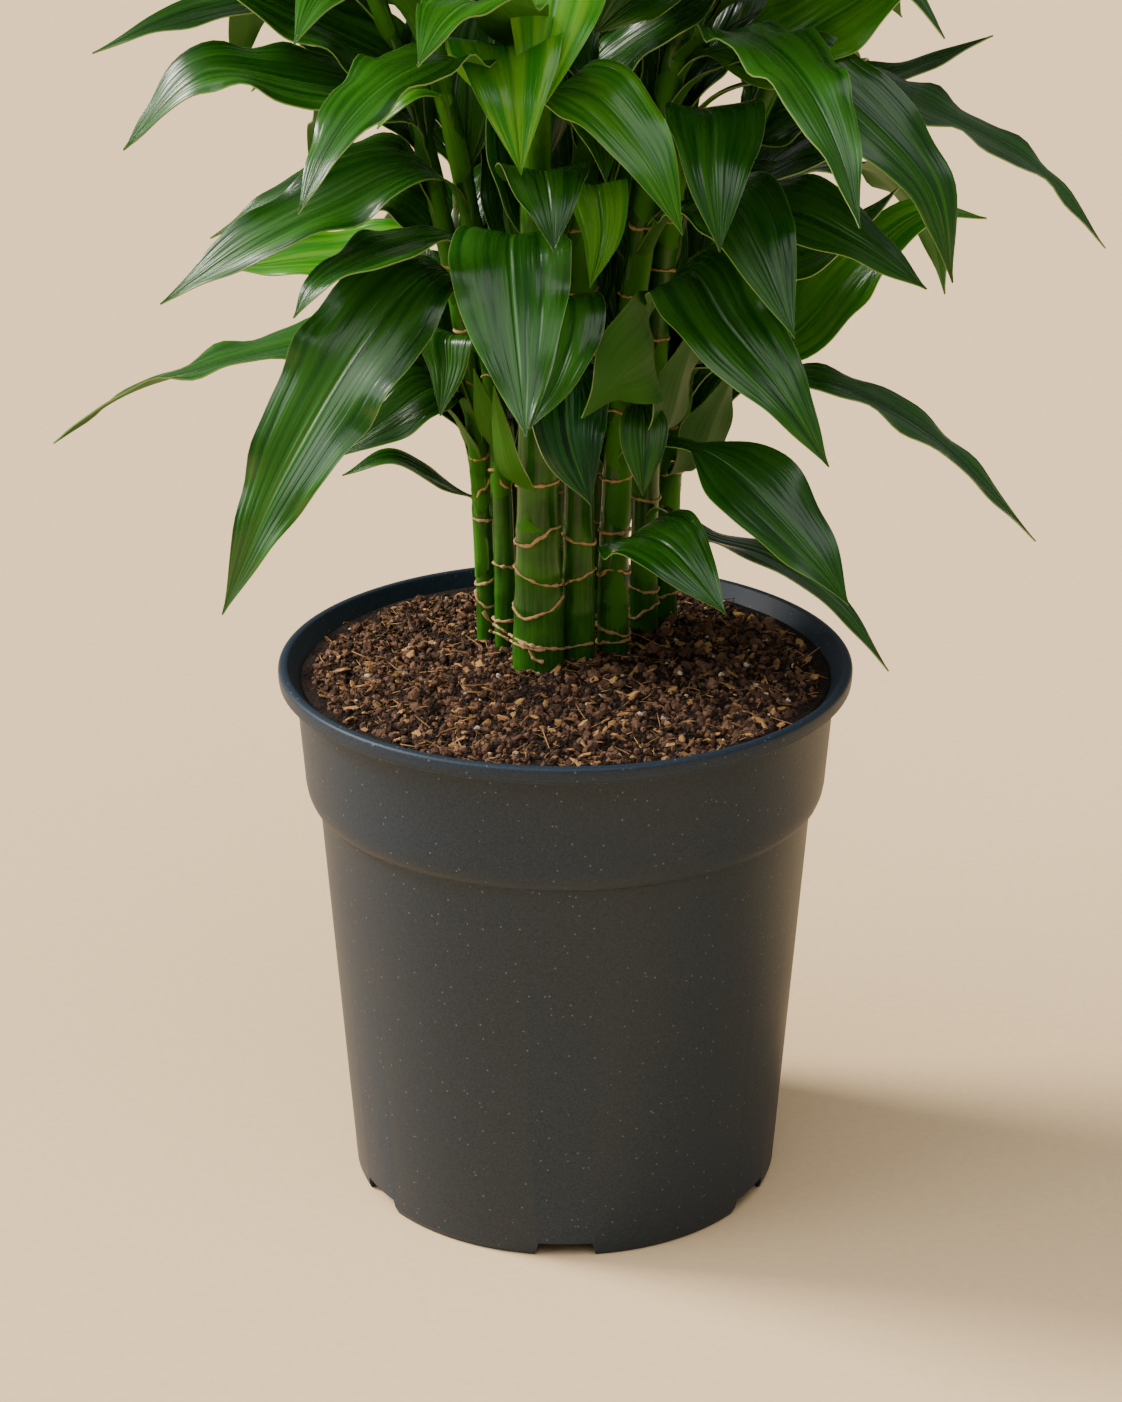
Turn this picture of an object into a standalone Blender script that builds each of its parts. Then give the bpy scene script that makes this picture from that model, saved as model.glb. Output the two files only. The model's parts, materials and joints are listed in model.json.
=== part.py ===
"""A corn plant: ten leafy canes in a grower's pot of peat.

Run it with blender --background --python part.py, or from Blender's text editor.
Metres, +Z up. The origin is at the middle of the pot's base, on the floor, and the
front of the plant looks along -Y.
"""
import math
import random
from collections import namedtuple

import bmesh
import bpy
from mathutils import Matrix, Vector, noise
from mathutils.bvhtree import BVHTree

UP = Vector((0.0, 0.0, 1.0))
GAP = 0.0003  # clear air between solids that touch

# Pot, a 24 cm grower's pot with a collar
RIM_RADIUS = 0.120
RIM_INNER = 0.1160
RIM_TOP = 0.2340
LIP_HEIGHT = 0.0068
COLLAR_RADIUS = 0.1129
SHOULDER_RADIUS = 0.1100
SHOULDER_TOP = 0.188
CREASE_RADIUS = 0.1049
CREASE_HEIGHT = 0.1747
BASE_RADIUS = 0.0915
WALL = 0.0023
FOOT_WALL = 0.0026
FLOOR_LIFT = 0.0060
HUB_RADIUS = 0.058
HUB_SLOPE = 0.009  # how far round the hub the floor slopes up
HUB_STEP = 0.001
RIM_FLARE = 0.0006
RIM_ROUND = 0.0014
LIP_ROUND = 0.0012
CREASE_STEP = 0.0004
POT_SIDES = 48
NOTCHES = 6
NOTCH_WIDTH = 0.028
NOTCH_HEIGHT = 0.0062

# Soil
SOIL_EDGE = 0.2290
SOIL_CROWN = 0.2352
SOIL_SIDES = 40
SOIL_LUMP = 0.0022
STEM_DEPTH = 0.170  # height of the canes' feet inside the soil
STRAIGHT_TOP = 0.246  # the canes stand plumb up to here
LEAN_POWER = 2.2  # how late a cane bends towards its top

# Canes
CANE_SIDES = 8
SCAR_RISE = 1.07
SCAR_HALF = 0.0016
SCAR_CLEAR = 0.025  # smooth cane above the last scar that shows
RING_SPACING = 0.080  # of the rings that bend the cane above that

# Blades
BLADE_THICKNESS = 0.0008
CLEARANCE = 0.0008  # extra thickness when blades of two stems are kept apart
WIDEST = 0.36  # share of the blade's length where it is widest
NECK = 0.15  # width of the leaf's narrow base, as a share of the whole
FULLNESS = 1.8  # how long the blade stays wide past its widest place
TIP_POWER = 1.15
FOLD = 0.16  # how far the rims stand above the midrib, as a share of half the width
HERO_WAVE = 0.0020  # how far the rims swing up and down
CROWN_WAVE = 0.0018
SPINE_STEPS = 28
HERO_STATIONS = (0.17, 0.36, 0.60, 0.82, 1.0)  # shares of the blade past its neck
CROWN_STATIONS = (0.26, 0.55, 0.82, 1.0)
CROWN_NECK = 0.12
GOLDEN_TURN = math.radians(137.5)
CROWN_TRIES = [(lift, turn) for lift in (0, 9, -9, 18, 27) for turn in (0, 14, -14, 28, -28, 42, -42)]

# The reference view that the front leaves are read from: a lens at the height and
# distance below, and pixels counted from the frame's upper left corner
VIEW_SIDE = -0.0018
VIEW_DISTANCE = 1.365
VIEW_HEIGHT = 0.764
VIEW_PITCH = math.radians(21.94)
VIEW_FOCAL = 3500.0
VIEW_MIDDLE = (561.0, 701.0)
VIEW_TOP = -8.0  # a leaf that stays above this row isn't seen
LEAFY_COLUMNS = (215.0, 950.0)  # the view's top row shows leaves between these, and bare wall beside them

Stem = namedtuple("Stem", "name foot top foot_radius top_radius scars leafy_from fan spread count")
STEMS = {
    stem.name: stem
    for stem in (
        Stem("stem_front", (-0.0112, -0.0080), (-0.012, -0.030, 0.500), 0.0100, 0.0050,
             (0.2609, 0.2758, 0.2931), 0.470, -90, 70, 4),
        Stem("stem_middle", (0.0055, 0.0015), (0.014, -0.004, 0.600), 0.0064, 0.0042,
             (0.2550, 0.2715, 0.2877), 0.500, -60, 180, 9),
        Stem("stem_front_right", (0.0200, 0.0105), (0.062, -0.008, 0.560), 0.0061, 0.0042,
             (0.2545, 0.2703, 0.2879), 0.480, -35, 60, 6),
        Stem("stem_left", (-0.0336, 0.0240), (-0.092, 0.022, 0.550), 0.0036, 0.0034,
             (0.2520, 0.2605, 0.2880), 0.480, 180, 55, 6),
        Stem("stem_front_left", (-0.0254, 0.0180), (-0.060, -0.004, 0.520), 0.0041, 0.0036,
             (0.2560, 0.2704, 0.3073), 0.480, -140, 50, 5),
        Stem("stem_right", (0.0335, 0.0400), (0.085, 0.030, 0.620), 0.0056, 0.0040,
             (0.2700, 0.2920), 0.490, 10, 60, 8),
        Stem("stem_far_right", (0.0430, 0.0560), (0.122, 0.056, 0.540), 0.0050, 0.0038,
             (0.2760,), 0.400, 48, 50, 9),
        Stem("stem_back_left", (-0.0260, 0.0520), (-0.072, 0.076, 0.580), 0.0056, 0.0040,
             (0.2720,), 0.390, 132, 50, 11),
        Stem("stem_centre", (-0.0060, 0.0330), (-0.006, 0.034, 0.650), 0.0072, 0.0044,
             (0.2720,), 0.420, 90, 180, 15),
        Stem("stem_back", (0.0130, 0.0600), (0.022, 0.092, 0.600), 0.0060, 0.0040,
             (0.2740,), 0.380, 88, 50, 11),
    )
}

# Leaves read from the reference view. root is the height on the stem where the leaf
# parts from it, and seen holds points along its midrib as (pixel across, pixel down,
# distance behind the pot's axis). roll turns the upper face to the viewer, in degrees,
# and twist adds to it towards the tip. neck is the narrow share of the leaf's length.
Leaf = namedtuple("Leaf", "stem root seen width roll twist neck", defaults=(0, 0, 0.12))
LEAVES = (
    # Left side, from the top down
    Leaf("stem_back_left", 0.480, ((330, -15, 0.050), (240, 3, 0.040), (165, 22, 0.034),
                                   (92, 53, 0.030)), 0.030, 18),
    Leaf("stem_left", 0.445, ((390, 62, 0.014), (340, 34, 0.012), (270, 2, 0.008),
                              (195, -30, 0.006)), 0.044, 30),
    Leaf("stem_left", 0.430, ((396, 106, 0.004), (300, 82, -0.006), (200, 72, -0.014),
                              (123, 150, -0.018)), 0.040, 24),
    Leaf("stem_left", 0.410, ((390, 152, 0.018), (300, 188, 0.014), (210, 238, 0.012)), 0.030, 14),
    Leaf("stem_front_left", 0.425, ((405, 168, -0.020), (335, 200, -0.032), (250, 243, -0.042),
                                    (160, 304, -0.048)), 0.036, 22),
    Leaf("stem_back_left", 0.400, ((380, 250, 0.055), (310, 258, 0.060), (228, 269, 0.062)), 0.036, 24),
    Leaf("stem_front_left", 0.405, ((430, 238, -0.022), (370, 256, -0.044), (318, 284, -0.058),
                                    (293, 318, -0.064)), 0.034, 2),
    Leaf("stem_front_left", 0.375, ((428, 272, -0.026), (365, 338, -0.052), (280, 482, -0.070),
                                    (222, 615, -0.076)), 0.046, 30),
    Leaf("stem_left", 0.335, ((432, 388, 0.010), (390, 416, 0.004), (337, 457, -0.002)), 0.032, 28),
    Leaf("stem_left", 0.360, ((400, 322, 0.012), (300, 344, 0.000), (190, 372, -0.008),
                              (120, 397, -0.012), (53, 443, -0.015)), 0.036, 6, -45),
    Leaf("stem_left", 0.292, ((455, 490, 0.022), (425, 473, 0.018), (388, 458, 0.012),
                              (342, 475, 0.008)), 0.017, 12),
    Leaf("stem_front_left", 0.355, ((450, 336, -0.022), (448, 370, -0.030), (440, 416, -0.036)), 0.028, 0),
    Leaf("stem_left", 0.400, ((398, 200, 0.026), (374, 205, 0.028), (347, 214, 0.030)), 0.028, 20),
    Leaf("stem_front_left", 0.465, ((412, 86, -0.014), (395, 98, -0.020), (377, 129, -0.024)), 0.018, 20),
    Leaf("stem_left", 0.455, ((394, 76, 0.030), (378, 38, 0.030), (340, 0, 0.028)), 0.032, 30),
    Leaf("stem_left", 0.432, ((392, 104, 0.030), (350, 68, 0.034), (300, 44, 0.036)), 0.026, 25),
    # Front
    Leaf("stem_front", 0.405, ((511, 238, -0.058), (513, 300, -0.082), (526, 437, -0.116)), 0.047),
    Leaf("stem_front", 0.385, ((560, 305, -0.044), (550, 370, -0.060), (529, 430, -0.070)), 0.036),
    Leaf("stem_front", 0.430, ((544, 172, -0.058), (550, 205, -0.074), (554, 252, -0.084)), 0.036),
    Leaf("stem_middle", 0.420, ((596, 186, -0.030), (602, 232, -0.042), (590, 288, -0.050)), 0.024),
    Leaf("stem_front", 0.480, ((560, -50, -0.040), (560, -30, -0.062), (546, 50, -0.076),
                               (530, 128, -0.084)), 0.046),
    Leaf("stem_front", 0.455, ((506, 60, -0.058), (508, 48, -0.072), (513, 95, -0.092),
                               (521, 175, -0.102)), 0.046),
    Leaf("stem_front", 0.460, ((560, 88, -0.055), (600, 98, -0.072), (650, 160, -0.092),
                               (683, 235, -0.102)), 0.034, 20),
    Leaf("stem_front", 0.368, ((564, 376, -0.036), (569, 440, -0.050), (591, 505, -0.056)), 0.036),
    Leaf("stem_middle", 0.520, ((655, -15, -0.030), (628, 2, -0.036), (594, 34, -0.040)), 0.030),
    # Right side, from the top down
    Leaf("stem_middle", 0.500, ((592, 66, -0.020), (640, 38, -0.022), (750, -35, -0.020)), 0.040, 30),
    Leaf("stem_front_right", 0.480, ((775, 48, -0.016), (830, 18, -0.020), (890, -20, -0.022),
                                     (950, -70, -0.020)), 0.044, 45),
    Leaf("stem_right", 0.480, ((860, 78, 0.040), (930, 62, 0.044), (993, 35, 0.046)), 0.026, 10),
    Leaf("stem_front_right", 0.465, ((785, 52, -0.030), (850, 98, -0.046), (928, 185, -0.060),
                                     (953, 283, -0.066)), 0.034, 30, 0, 0.25),
    Leaf("stem_right", 0.455, ((865, 82, 0.016), (940, 116, 0.008), (1040, 172, 0.000),
                               (1106, 248, -0.005)), 0.036, 4, 0, 0.2),
    Leaf("stem_front_right", 0.418, ((750, 206, -0.020), (800, 212, -0.034), (860, 242, -0.044),
                                     (927, 289, -0.050)), 0.036, 28, 0, 0.2),
    Leaf("stem_front_right", 0.450, ((712, 112, -0.050), (715, 168, -0.080), (720, 252, -0.095)),
         0.038, 0, 0, 0.25),
    Leaf("stem_front_right", 0.408, ((730, 204, -0.045), (760, 250, -0.068), (795, 338, -0.088)), 0.042, 15),
    Leaf("stem_front_right", 0.362, ((690, 272, -0.035), (725, 322, -0.058), (782, 392, -0.078),
                                     (829, 467, -0.088)), 0.042, 25, 0, 0.18),
    Leaf("stem_far_right", 0.330, ((795, 335, 0.070), (855, 268, 0.082), (920, 214, 0.088),
                                   (987, 218, 0.090)), 0.034, 30),
    Leaf("stem_right", 0.372, ((800, 262, 0.034), (850, 232, 0.036), (899, 187, 0.038)), 0.026, 20),
    Leaf("stem_right", 0.430, ((757, 180, 0.014), (800, 164, 0.006), (857, 145, 0.002)), 0.026, 20),
    Leaf("stem_far_right", 0.440, ((760, 140, 0.062), (800, 116, 0.066), (840, 120, 0.068)), 0.026, 20),
    Leaf("stem_right", 0.340, ((795, 376, 0.010), (860, 395, 0.002), (950, 452, -0.008),
                               (1036, 541, -0.014)), 0.030, 0, 0, 0.2),
    Leaf("stem_front_right", 0.318, ((702, 450, -0.025), (750, 484, -0.042), (812, 552, -0.058),
                                     (849, 605, -0.066)), 0.038, 24, 0, 0.32),
    Leaf("stem_right", 0.285, ((707, 538, -0.002), (770, 558, -0.022), (840, 608, -0.036),
                               (889, 671, -0.044)), 0.024, -8),
    Leaf("stem_front_right", 0.272, ((640, 535, -0.022), (675, 552, -0.044), (726, 614, -0.064)), 0.038, 20),
    Leaf("stem_right", 0.450, ((690, 100, 0.020), (722, 56, 0.022), (775, 0, 0.024)), 0.028, 30),
    # Among the canes
    Leaf("stem_front_right", 0.375, ((652, 343, -0.026), (618, 376, -0.044), (581, 418, -0.052)), 0.046, -100),
    Leaf("stem_front_right", 0.322, ((664, 430, -0.006), (682, 372, -0.010), (702, 308, -0.012)), 0.032, 0),
    Leaf("stem_far_right", 0.300, ((694, 468, 0.034), (714, 415, 0.032), (738, 362, 0.030)), 0.032, 0),
    Leaf("stem_front_right", 0.345, ((642, 410, -0.014), (643, 450, -0.024), (643, 496, -0.030)),
         0.020, 0, 0, 0.25),
)


def shown_pixel(point):
    """Where the reference view shows a point, in pixels."""
    away = point - Vector((VIEW_SIDE, -VIEW_DISTANCE, VIEW_HEIGHT))
    ahead = away.y * math.cos(VIEW_PITCH) - away.z * math.sin(VIEW_PITCH)
    rise = away.y * math.sin(VIEW_PITCH) + away.z * math.cos(VIEW_PITCH)
    return VIEW_MIDDLE[0] + VIEW_FOCAL * away.x / ahead, VIEW_MIDDLE[1] - VIEW_FOCAL * rise / ahead


def seen_point(across, down, depth):
    """The point at y = depth that the reference view shows at a pixel."""
    right = across - VIEW_MIDDLE[0]
    rise = VIEW_MIDDLE[1] - down
    ahead = VIEW_FOCAL * math.cos(VIEW_PITCH) + rise * math.sin(VIEW_PITCH)
    climb = rise * math.cos(VIEW_PITCH) - VIEW_FOCAL * math.sin(VIEW_PITCH)
    reach = (depth + VIEW_DISTANCE) / ahead
    return Vector((VIEW_SIDE + right * reach, depth, VIEW_HEIGHT + climb * reach))


def new_collection(name):
    collection = bpy.data.collections.new(name)
    bpy.context.scene.collection.children.link(collection)
    return collection


def principled(name, color, roughness):
    material = bpy.data.materials.new(name)
    material.use_nodes = True
    shader = material.node_tree.nodes["Principled BSDF"]
    shader.inputs["Base Color"].default_value = (*color, 1.0)
    shader.inputs["Roughness"].default_value = roughness
    shader.inputs["Metallic"].default_value = 0.0
    material.diffuse_color = (*color, 1.0)
    return material


def mesh_object(name, vertices, faces, collection):
    mesh = bpy.data.meshes.new(name)
    mesh.from_pydata(vertices, [], faces)
    mesh.update()
    thing = bpy.data.objects.new(name, mesh)
    collection.objects.link(thing)
    return thing


def made_mesh(thing, name, collection):
    """A plain mesh object of what the modifiers make, in place of the first object."""
    bpy.context.view_layer.update()
    evaluated = thing.evaluated_get(bpy.context.evaluated_depsgraph_get())
    mesh = bpy.data.meshes.new_from_object(evaluated)
    body = bmesh.new()
    body.from_mesh(mesh)
    bmesh.ops.remove_doubles(body, verts=body.verts, dist=0.000001)
    body.to_mesh(mesh)
    body.free()
    mesh.shade_smooth()
    mesh.set_sharp_from_angle(angle=math.radians(40.0))
    place = thing.matrix_world.copy()
    bpy.data.objects.remove(thing)
    solid = bpy.data.objects.new(name, mesh)
    solid.matrix_world = place
    collection.objects.link(solid)
    return solid


def turned(name, profile, sides, collection):
    """A profile of (radius, height) points turned once round the Z axis."""
    vertices = [(radius, 0.0, height) for radius, height in profile]
    mesh = bpy.data.meshes.new(name)
    mesh.from_pydata(vertices, [(i, i + 1) for i in range(len(vertices) - 1)], [])
    thing = bpy.data.objects.new(name, mesh)
    collection.objects.link(thing)
    screw = thing.modifiers.new("Turn", "SCREW")
    screw.steps = sides
    screw.render_steps = sides
    screw.use_merge_vertices = True
    screw.merge_threshold = 0.00001
    return thing


def body_radius(height):
    """Outer radius of the pot's tapered body at a height below the crease."""
    return BASE_RADIUS + (CREASE_RADIUS - BASE_RADIUS) * height / CREASE_HEIGHT


def pot_inside():
    """The pot's inner wall, from the floor's middle up to the rim."""
    floor_top = FLOOR_LIFT + WALL
    return [
        (0.0, WALL),
        (HUB_RADIUS, WALL),
        (HUB_RADIUS + HUB_SLOPE, floor_top),
        (body_radius(floor_top) - WALL, floor_top),
        (CREASE_RADIUS - WALL, CREASE_HEIGHT + 0.002),
        (SHOULDER_RADIUS - WALL, SHOULDER_TOP),
        (COLLAR_RADIUS - WALL, RIM_TOP - LIP_HEIGHT),
        (RIM_INNER - RIM_FLARE, RIM_TOP - LIP_ROUND),
    ]


def pot_outside():
    """The pot's rim and outer wall, down to its foot and the middle of its base."""
    lip_foot = RIM_TOP - LIP_HEIGHT
    return [
        (RIM_INNER + RIM_FLARE / 3, RIM_TOP),
        (RIM_RADIUS - RIM_ROUND, RIM_TOP),
        (RIM_RADIUS, RIM_TOP - RIM_ROUND),
        (RIM_RADIUS, lip_foot + LIP_ROUND),
        (RIM_RADIUS - LIP_ROUND, lip_foot),
        (COLLAR_RADIUS + LIP_ROUND, lip_foot - CREASE_STEP),
        (COLLAR_RADIUS, lip_foot - RIM_ROUND),
        (SHOULDER_RADIUS, SHOULDER_TOP),
        (SHOULDER_RADIUS - 0.0006, SHOULDER_TOP - 0.0070),
        (SHOULDER_RADIUS - 0.0022, SHOULDER_TOP - 0.0120),
        (CREASE_RADIUS + CREASE_STEP, CREASE_HEIGHT + HUB_STEP),
        (CREASE_RADIUS, CREASE_HEIGHT),
        (body_radius(0.0020), 0.0020),
        (BASE_RADIUS - 0.0006, 0.0),
        (BASE_RADIUS - FOOT_WALL, 0.0),
        (BASE_RADIUS - FOOT_WALL, FLOOR_LIFT),
        (HUB_RADIUS + HUB_SLOPE, FLOOR_LIFT),
        (HUB_RADIUS + HUB_STEP, 0.0),
        (0.0, 0.0),
    ]


def add_pot(parts, cutters):
    pot = turned("pot", pot_inside() + pot_outside(), POT_SIDES, parts)
    for count in range(NOTCHES):
        turn = math.radians(count * 360.0 / NOTCHES - 90.0)
        bpy.ops.mesh.primitive_cube_add(size=1.0)
        cutter = bpy.context.object
        cutter.name = f"notch_cutter_{count + 1}"
        middle = BASE_RADIUS - FOOT_WALL / 2
        cutter.matrix_world = (
            Matrix.Rotation(turn, 4, "Z")
            @ Matrix.Translation((middle, 0.0, (NOTCH_HEIGHT - 0.004) / 2))
            @ Matrix.Diagonal((2.4 * FOOT_WALL, NOTCH_WIDTH, NOTCH_HEIGHT + 0.004, 1.0))
        )
        for holder in cutter.users_collection:
            holder.objects.unlink(cutter)
        cutters.objects.link(cutter)
        cutter.hide_render = True
        cutter.display_type = "WIRE"
    cut = pot.modifiers.new("Notches", "BOOLEAN")
    cut.operation = "DIFFERENCE"
    cut.operand_type = "COLLECTION"
    cut.collection = cutters
    pot.data.materials.append(principled("Dark grey plastic", (0.045, 0.049, 0.054), 0.5))
    return pot


def soil_height(radius):
    """Height of the soil's smooth mound."""
    share = min(1.0, radius / (COLLAR_RADIUS - WALL))
    return SOIL_EDGE + (SOIL_CROWN - SOIL_EDGE) * (0.5 + 0.5 * math.cos(math.pi * share ** 1.3))


def soil_lift(x, y):
    """Lumps on the soil."""
    return SOIL_LUMP * noise.noise(Vector((x, y, 0.0)) * 55.0)


def inside_radius(height):
    """Radius of the pot's inner wall at a height above its floor."""
    wall = pot_inside()[3:]
    for (low_radius, low), (high_radius, high) in zip(wall, wall[1:]):
        if height <= high:
            return low_radius + (high_radius - low_radius) * (height - low) / (high - low)
    return wall[-1][0]


def soil_profile():
    inset = GAP / math.cos(math.pi / SOIL_SIDES)
    top_radius = inside_radius(SOIL_EDGE) - inset
    rings = [top_radius * share for share in (0.0, 0.14, 0.28, 0.42, 0.57, 0.72, 0.87, 1.0)]
    surface = [(radius, soil_height(radius)) for radius in rings]
    sides = [(radius - inset, height + GAP) for radius, height in reversed(pot_inside()[1:])
             if height < SOIL_EDGE]
    return surface + sides + [(0.0, WALL + GAP)]


def add_soil(parts):
    blank = turned("soil_blank", soil_profile(), SOIL_SIDES, parts)
    soil = made_mesh(blank, "soil", parts)
    for vertex in soil.data.vertices:
        radius = math.hypot(vertex.co.x, vertex.co.y)
        if vertex.co.z > SOIL_EDGE - 0.0005 and radius < COLLAR_RADIUS - 4 * WALL:
            vertex.co.z += soil_lift(vertex.co.x, vertex.co.y)
    cutters = new_collection("Stem holes")
    for stem in STEMS.values():
        depth = STRAIGHT_TOP - STEM_DEPTH + GAP
        bpy.ops.mesh.primitive_cylinder_add(
            vertices=CANE_SIDES, depth=depth,
            radius=stem.foot_radius * SCAR_RISE + GAP / math.cos(math.pi / CANE_SIDES),
            location=(*stem.foot, STRAIGHT_TOP - depth / 2),
        )
        hole = bpy.context.object
        hole.name = stem.name + "_hole"
        for holder in hole.users_collection:
            holder.objects.unlink(hole)
        cutters.objects.link(hole)
    cut = soil.modifiers.new("Holes", "BOOLEAN")
    cut.operation = "DIFFERENCE"
    cut.operand_type = "COLLECTION"
    cut.collection = cutters
    soil = made_mesh(soil, "soil", parts)
    remove_collection(cutters)
    soil.data.materials.append(principled("Peat", (0.035, 0.020, 0.013), 0.95))
    return soil


def remove_collection(collection):
    for thing in list(collection.objects):
        bpy.data.objects.remove(thing)
    bpy.data.collections.remove(collection)


def stem_point(stem, height):
    """The middle of the cane at a height: plumb in the soil, then leaning to its top."""
    foot = Vector((*stem.foot, height))
    if height <= STRAIGHT_TOP:
        return foot
    share = (height - STRAIGHT_TOP) / (stem.top[2] - STRAIGHT_TOP)
    lean = Vector((stem.top[0] - stem.foot[0], stem.top[1] - stem.foot[1], 0.0))
    return foot + lean * share ** LEAN_POWER


def stem_radius(stem, height):
    share = max(0.0, (height - STRAIGHT_TOP) / (stem.top[2] - STRAIGHT_TOP))
    return stem.foot_radius + (stem.top_radius - stem.foot_radius) * min(1.0, share) ** 0.6


def stem_rings(stem):
    """(height, radius) down the cane's length, with its ring scars."""
    rings = [(STEM_DEPTH, stem.foot_radius), (STRAIGHT_TOP, stem.foot_radius)]
    for height in stem.scars:
        radius = stem_radius(stem, height)
        rings += [(height - SCAR_HALF, radius), (height, radius * SCAR_RISE), (height + SCAR_HALF, radius)]
    first = max([STRAIGHT_TOP, *stem.scars]) + SCAR_CLEAR
    steps = max(2, round((stem.top[2] - first) / RING_SPACING))
    for step in range(steps + 1):
        height = first + (stem.top[2] - first) * step / steps
        rings.append((height, stem_radius(stem, height)))
    return sorted(rings)


def add_cane(stem, collection):
    curve = bpy.data.curves.new(stem.name, "CURVE")
    curve.dimensions = "3D"
    curve.bevel_depth = 1.0
    curve.bevel_resolution = (CANE_SIDES - 4) // 2
    curve.use_fill_caps = True
    rings = stem_rings(stem)
    spline = curve.splines.new("POLY")
    spline.points.add(len(rings) - 1)
    for point, (height, radius) in zip(spline.points, rings):
        point.co = (*stem_point(stem, height), 1.0)
        point.radius = radius
    thing = bpy.data.objects.new(stem.name, curve)
    collection.objects.link(thing)
    return made_mesh(thing, stem.name, collection)


Blade = namedtuple("Blade", "stem spine width roll twist neck stations wave")


def catmull_rom(points, steps):
    """A smooth line through the points, as steps + 1 points evenly spaced along it."""
    ends = [points[0] * 2 - points[1], *points, points[-1] * 2 - points[-2]]
    fine = [points[0]]
    for before, start, end, after in zip(ends, ends[1:], ends[2:], ends[3:]):
        for step in range(1, 13):
            t = step / 12
            fine.append(0.5 * (
                2 * start + (end - before) * t
                + (2 * before - 5 * start + 4 * end - after) * t ** 2
                + (3 * start - before - 3 * end + after) * t ** 3
            ))
    return even_points(fine, steps)


def even_points(line, steps):
    lengths = [0.0]
    for start, end in zip(line, line[1:]):
        lengths.append(lengths[-1] + (end - start).length)
    points = []
    place = 0
    for step in range(steps + 1):
        wanted = lengths[-1] * step / steps
        while place < len(line) - 2 and lengths[place + 1] < wanted:
            place += 1
        share = (wanted - lengths[place]) / (lengths[place + 1] - lengths[place])
        points.append(line[place].lerp(line[place + 1], min(1.0, share)))
    return points


def leaf_spine(leaf):
    """Midrib of a leaf read from the view: up out of its stem, then through its points."""
    root = stem_point(STEMS[leaf.stem], leaf.root)
    points = [seen_point(*point) for point in leaf.seen]
    away = points[0] - root
    leaving = root + away * 0.35 + UP * 0.10 * away.length
    return catmull_rom([root, leaving, *points], SPINE_STEPS)


def arching_spine(root, heading, rise, droop, length):
    """Midrib that leaves root at an angle of rise and bends over by droop in all."""
    ahead = Vector((math.cos(heading), math.sin(heading), 0.0))
    points = [root.copy()]
    for step in range(SPINE_STEPS):
        pitch = rise - droop * ((step + 0.5) / SPINE_STEPS) ** 1.2
        points.append(points[-1] + (ahead * math.cos(pitch) + UP * math.sin(pitch)) * length / SPINE_STEPS)
    return points


def blade_share(along, neck):
    """Half width of a blade at a share of its length, as a share of its widest."""
    if along <= neck:
        return NECK
    reach = (along - neck) / (1.0 - neck)
    if reach < WIDEST:
        return NECK + (1.0 - NECK) * math.sin(math.pi / 2 * reach / WIDEST)
    return (1.0 - ((reach - WIDEST) / (1.0 - WIDEST)) ** FULLNESS) ** TIP_POWER


def blade_frames(blade, stations):
    """(point, across, normal) at each station, the blade's upper face along normal."""
    spine = blade.spine
    heading = spine[-1] - spine[0]
    heading.z = 0.0
    level = heading.normalized().cross(UP)
    side = 1.0 if heading.x > 0 else -1.0
    frames = []
    for along in stations:
        place = along * (len(spine) - 1)
        first = min(int(place), len(spine) - 2)
        point = spine[first].lerp(spine[first + 1], place - first)
        ahead = (spine[min(first + 2, len(spine) - 1)] - spine[max(first - 1, 0)]).normalized()
        across = (level - ahead * level.dot(ahead)).normalized()
        turn = blade.roll * min(1.0, 3.0 * along) + blade.twist * along ** 3
        across.rotate(Matrix.Rotation(side * math.radians(turn), 3, ahead))
        frames.append((point, across, across.cross(ahead)))
    return frames


def blade_mesh(blade, thickness):
    """A closed thin blade, with both faces split alike: vertices and triangles."""
    vertices = []
    stations = [0.0, blade.neck] + [blade.neck + share * (1.0 - blade.neck) for share in blade.stations]
    for number, (point, across, normal) in enumerate(blade_frames(blade, stations)):
        half = blade.width / 2 * blade_share(stations[number], blade.neck)
        if number == len(stations) - 1:
            vertices.append(point)
            break
        fold = FOLD * half
        swing = blade.wave * (-1) ** number * half / (blade.width / 2)
        if number == 0:
            fold = swing = 0.0
        rim = [
            point - across * half + normal * (fold + swing),
            point,
            point + across * half + normal * (fold - swing),
        ]
        lift = normal * thickness / 2
        vertices += [corner + lift for corner in rim] + [corner - lift for corner in rim]
    faces = [(0, 4, 1), (0, 3, 4), (1, 5, 2), (1, 4, 5)]
    last = 6 * (len(stations) - 2)
    for near in range(0, last, 6):
        far = near + 6
        faces += [
            (near, far + 1, far), (near, near + 1, far + 1),
            (near + 1, near + 2, far + 1), (near + 2, far + 2, far + 1),
            (near + 3, far + 3, far + 4), (near + 3, far + 4, near + 4),
            (near + 4, far + 4, near + 5), (near + 5, far + 4, far + 5),
            (near + 2, far + 5, far + 2), (near + 2, near + 5, far + 5),
            (near, far + 3, near + 3), (near, far, far + 3),
        ]
    tip = last + 6
    faces += [
        (last, last + 1, tip), (last + 1, last + 2, tip), (last + 2, last + 5, tip),
        (last + 5, last + 4, tip), (last + 4, last + 3, tip), (last + 3, last, tip),
    ]
    return vertices, faces


def hero_blades():
    return [
        Blade(leaf.stem, leaf_spine(leaf), leaf.width, leaf.roll, leaf.twist, leaf.neck, HERO_STATIONS, HERO_WAVE)
        for leaf in LEAVES
    ]


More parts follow.
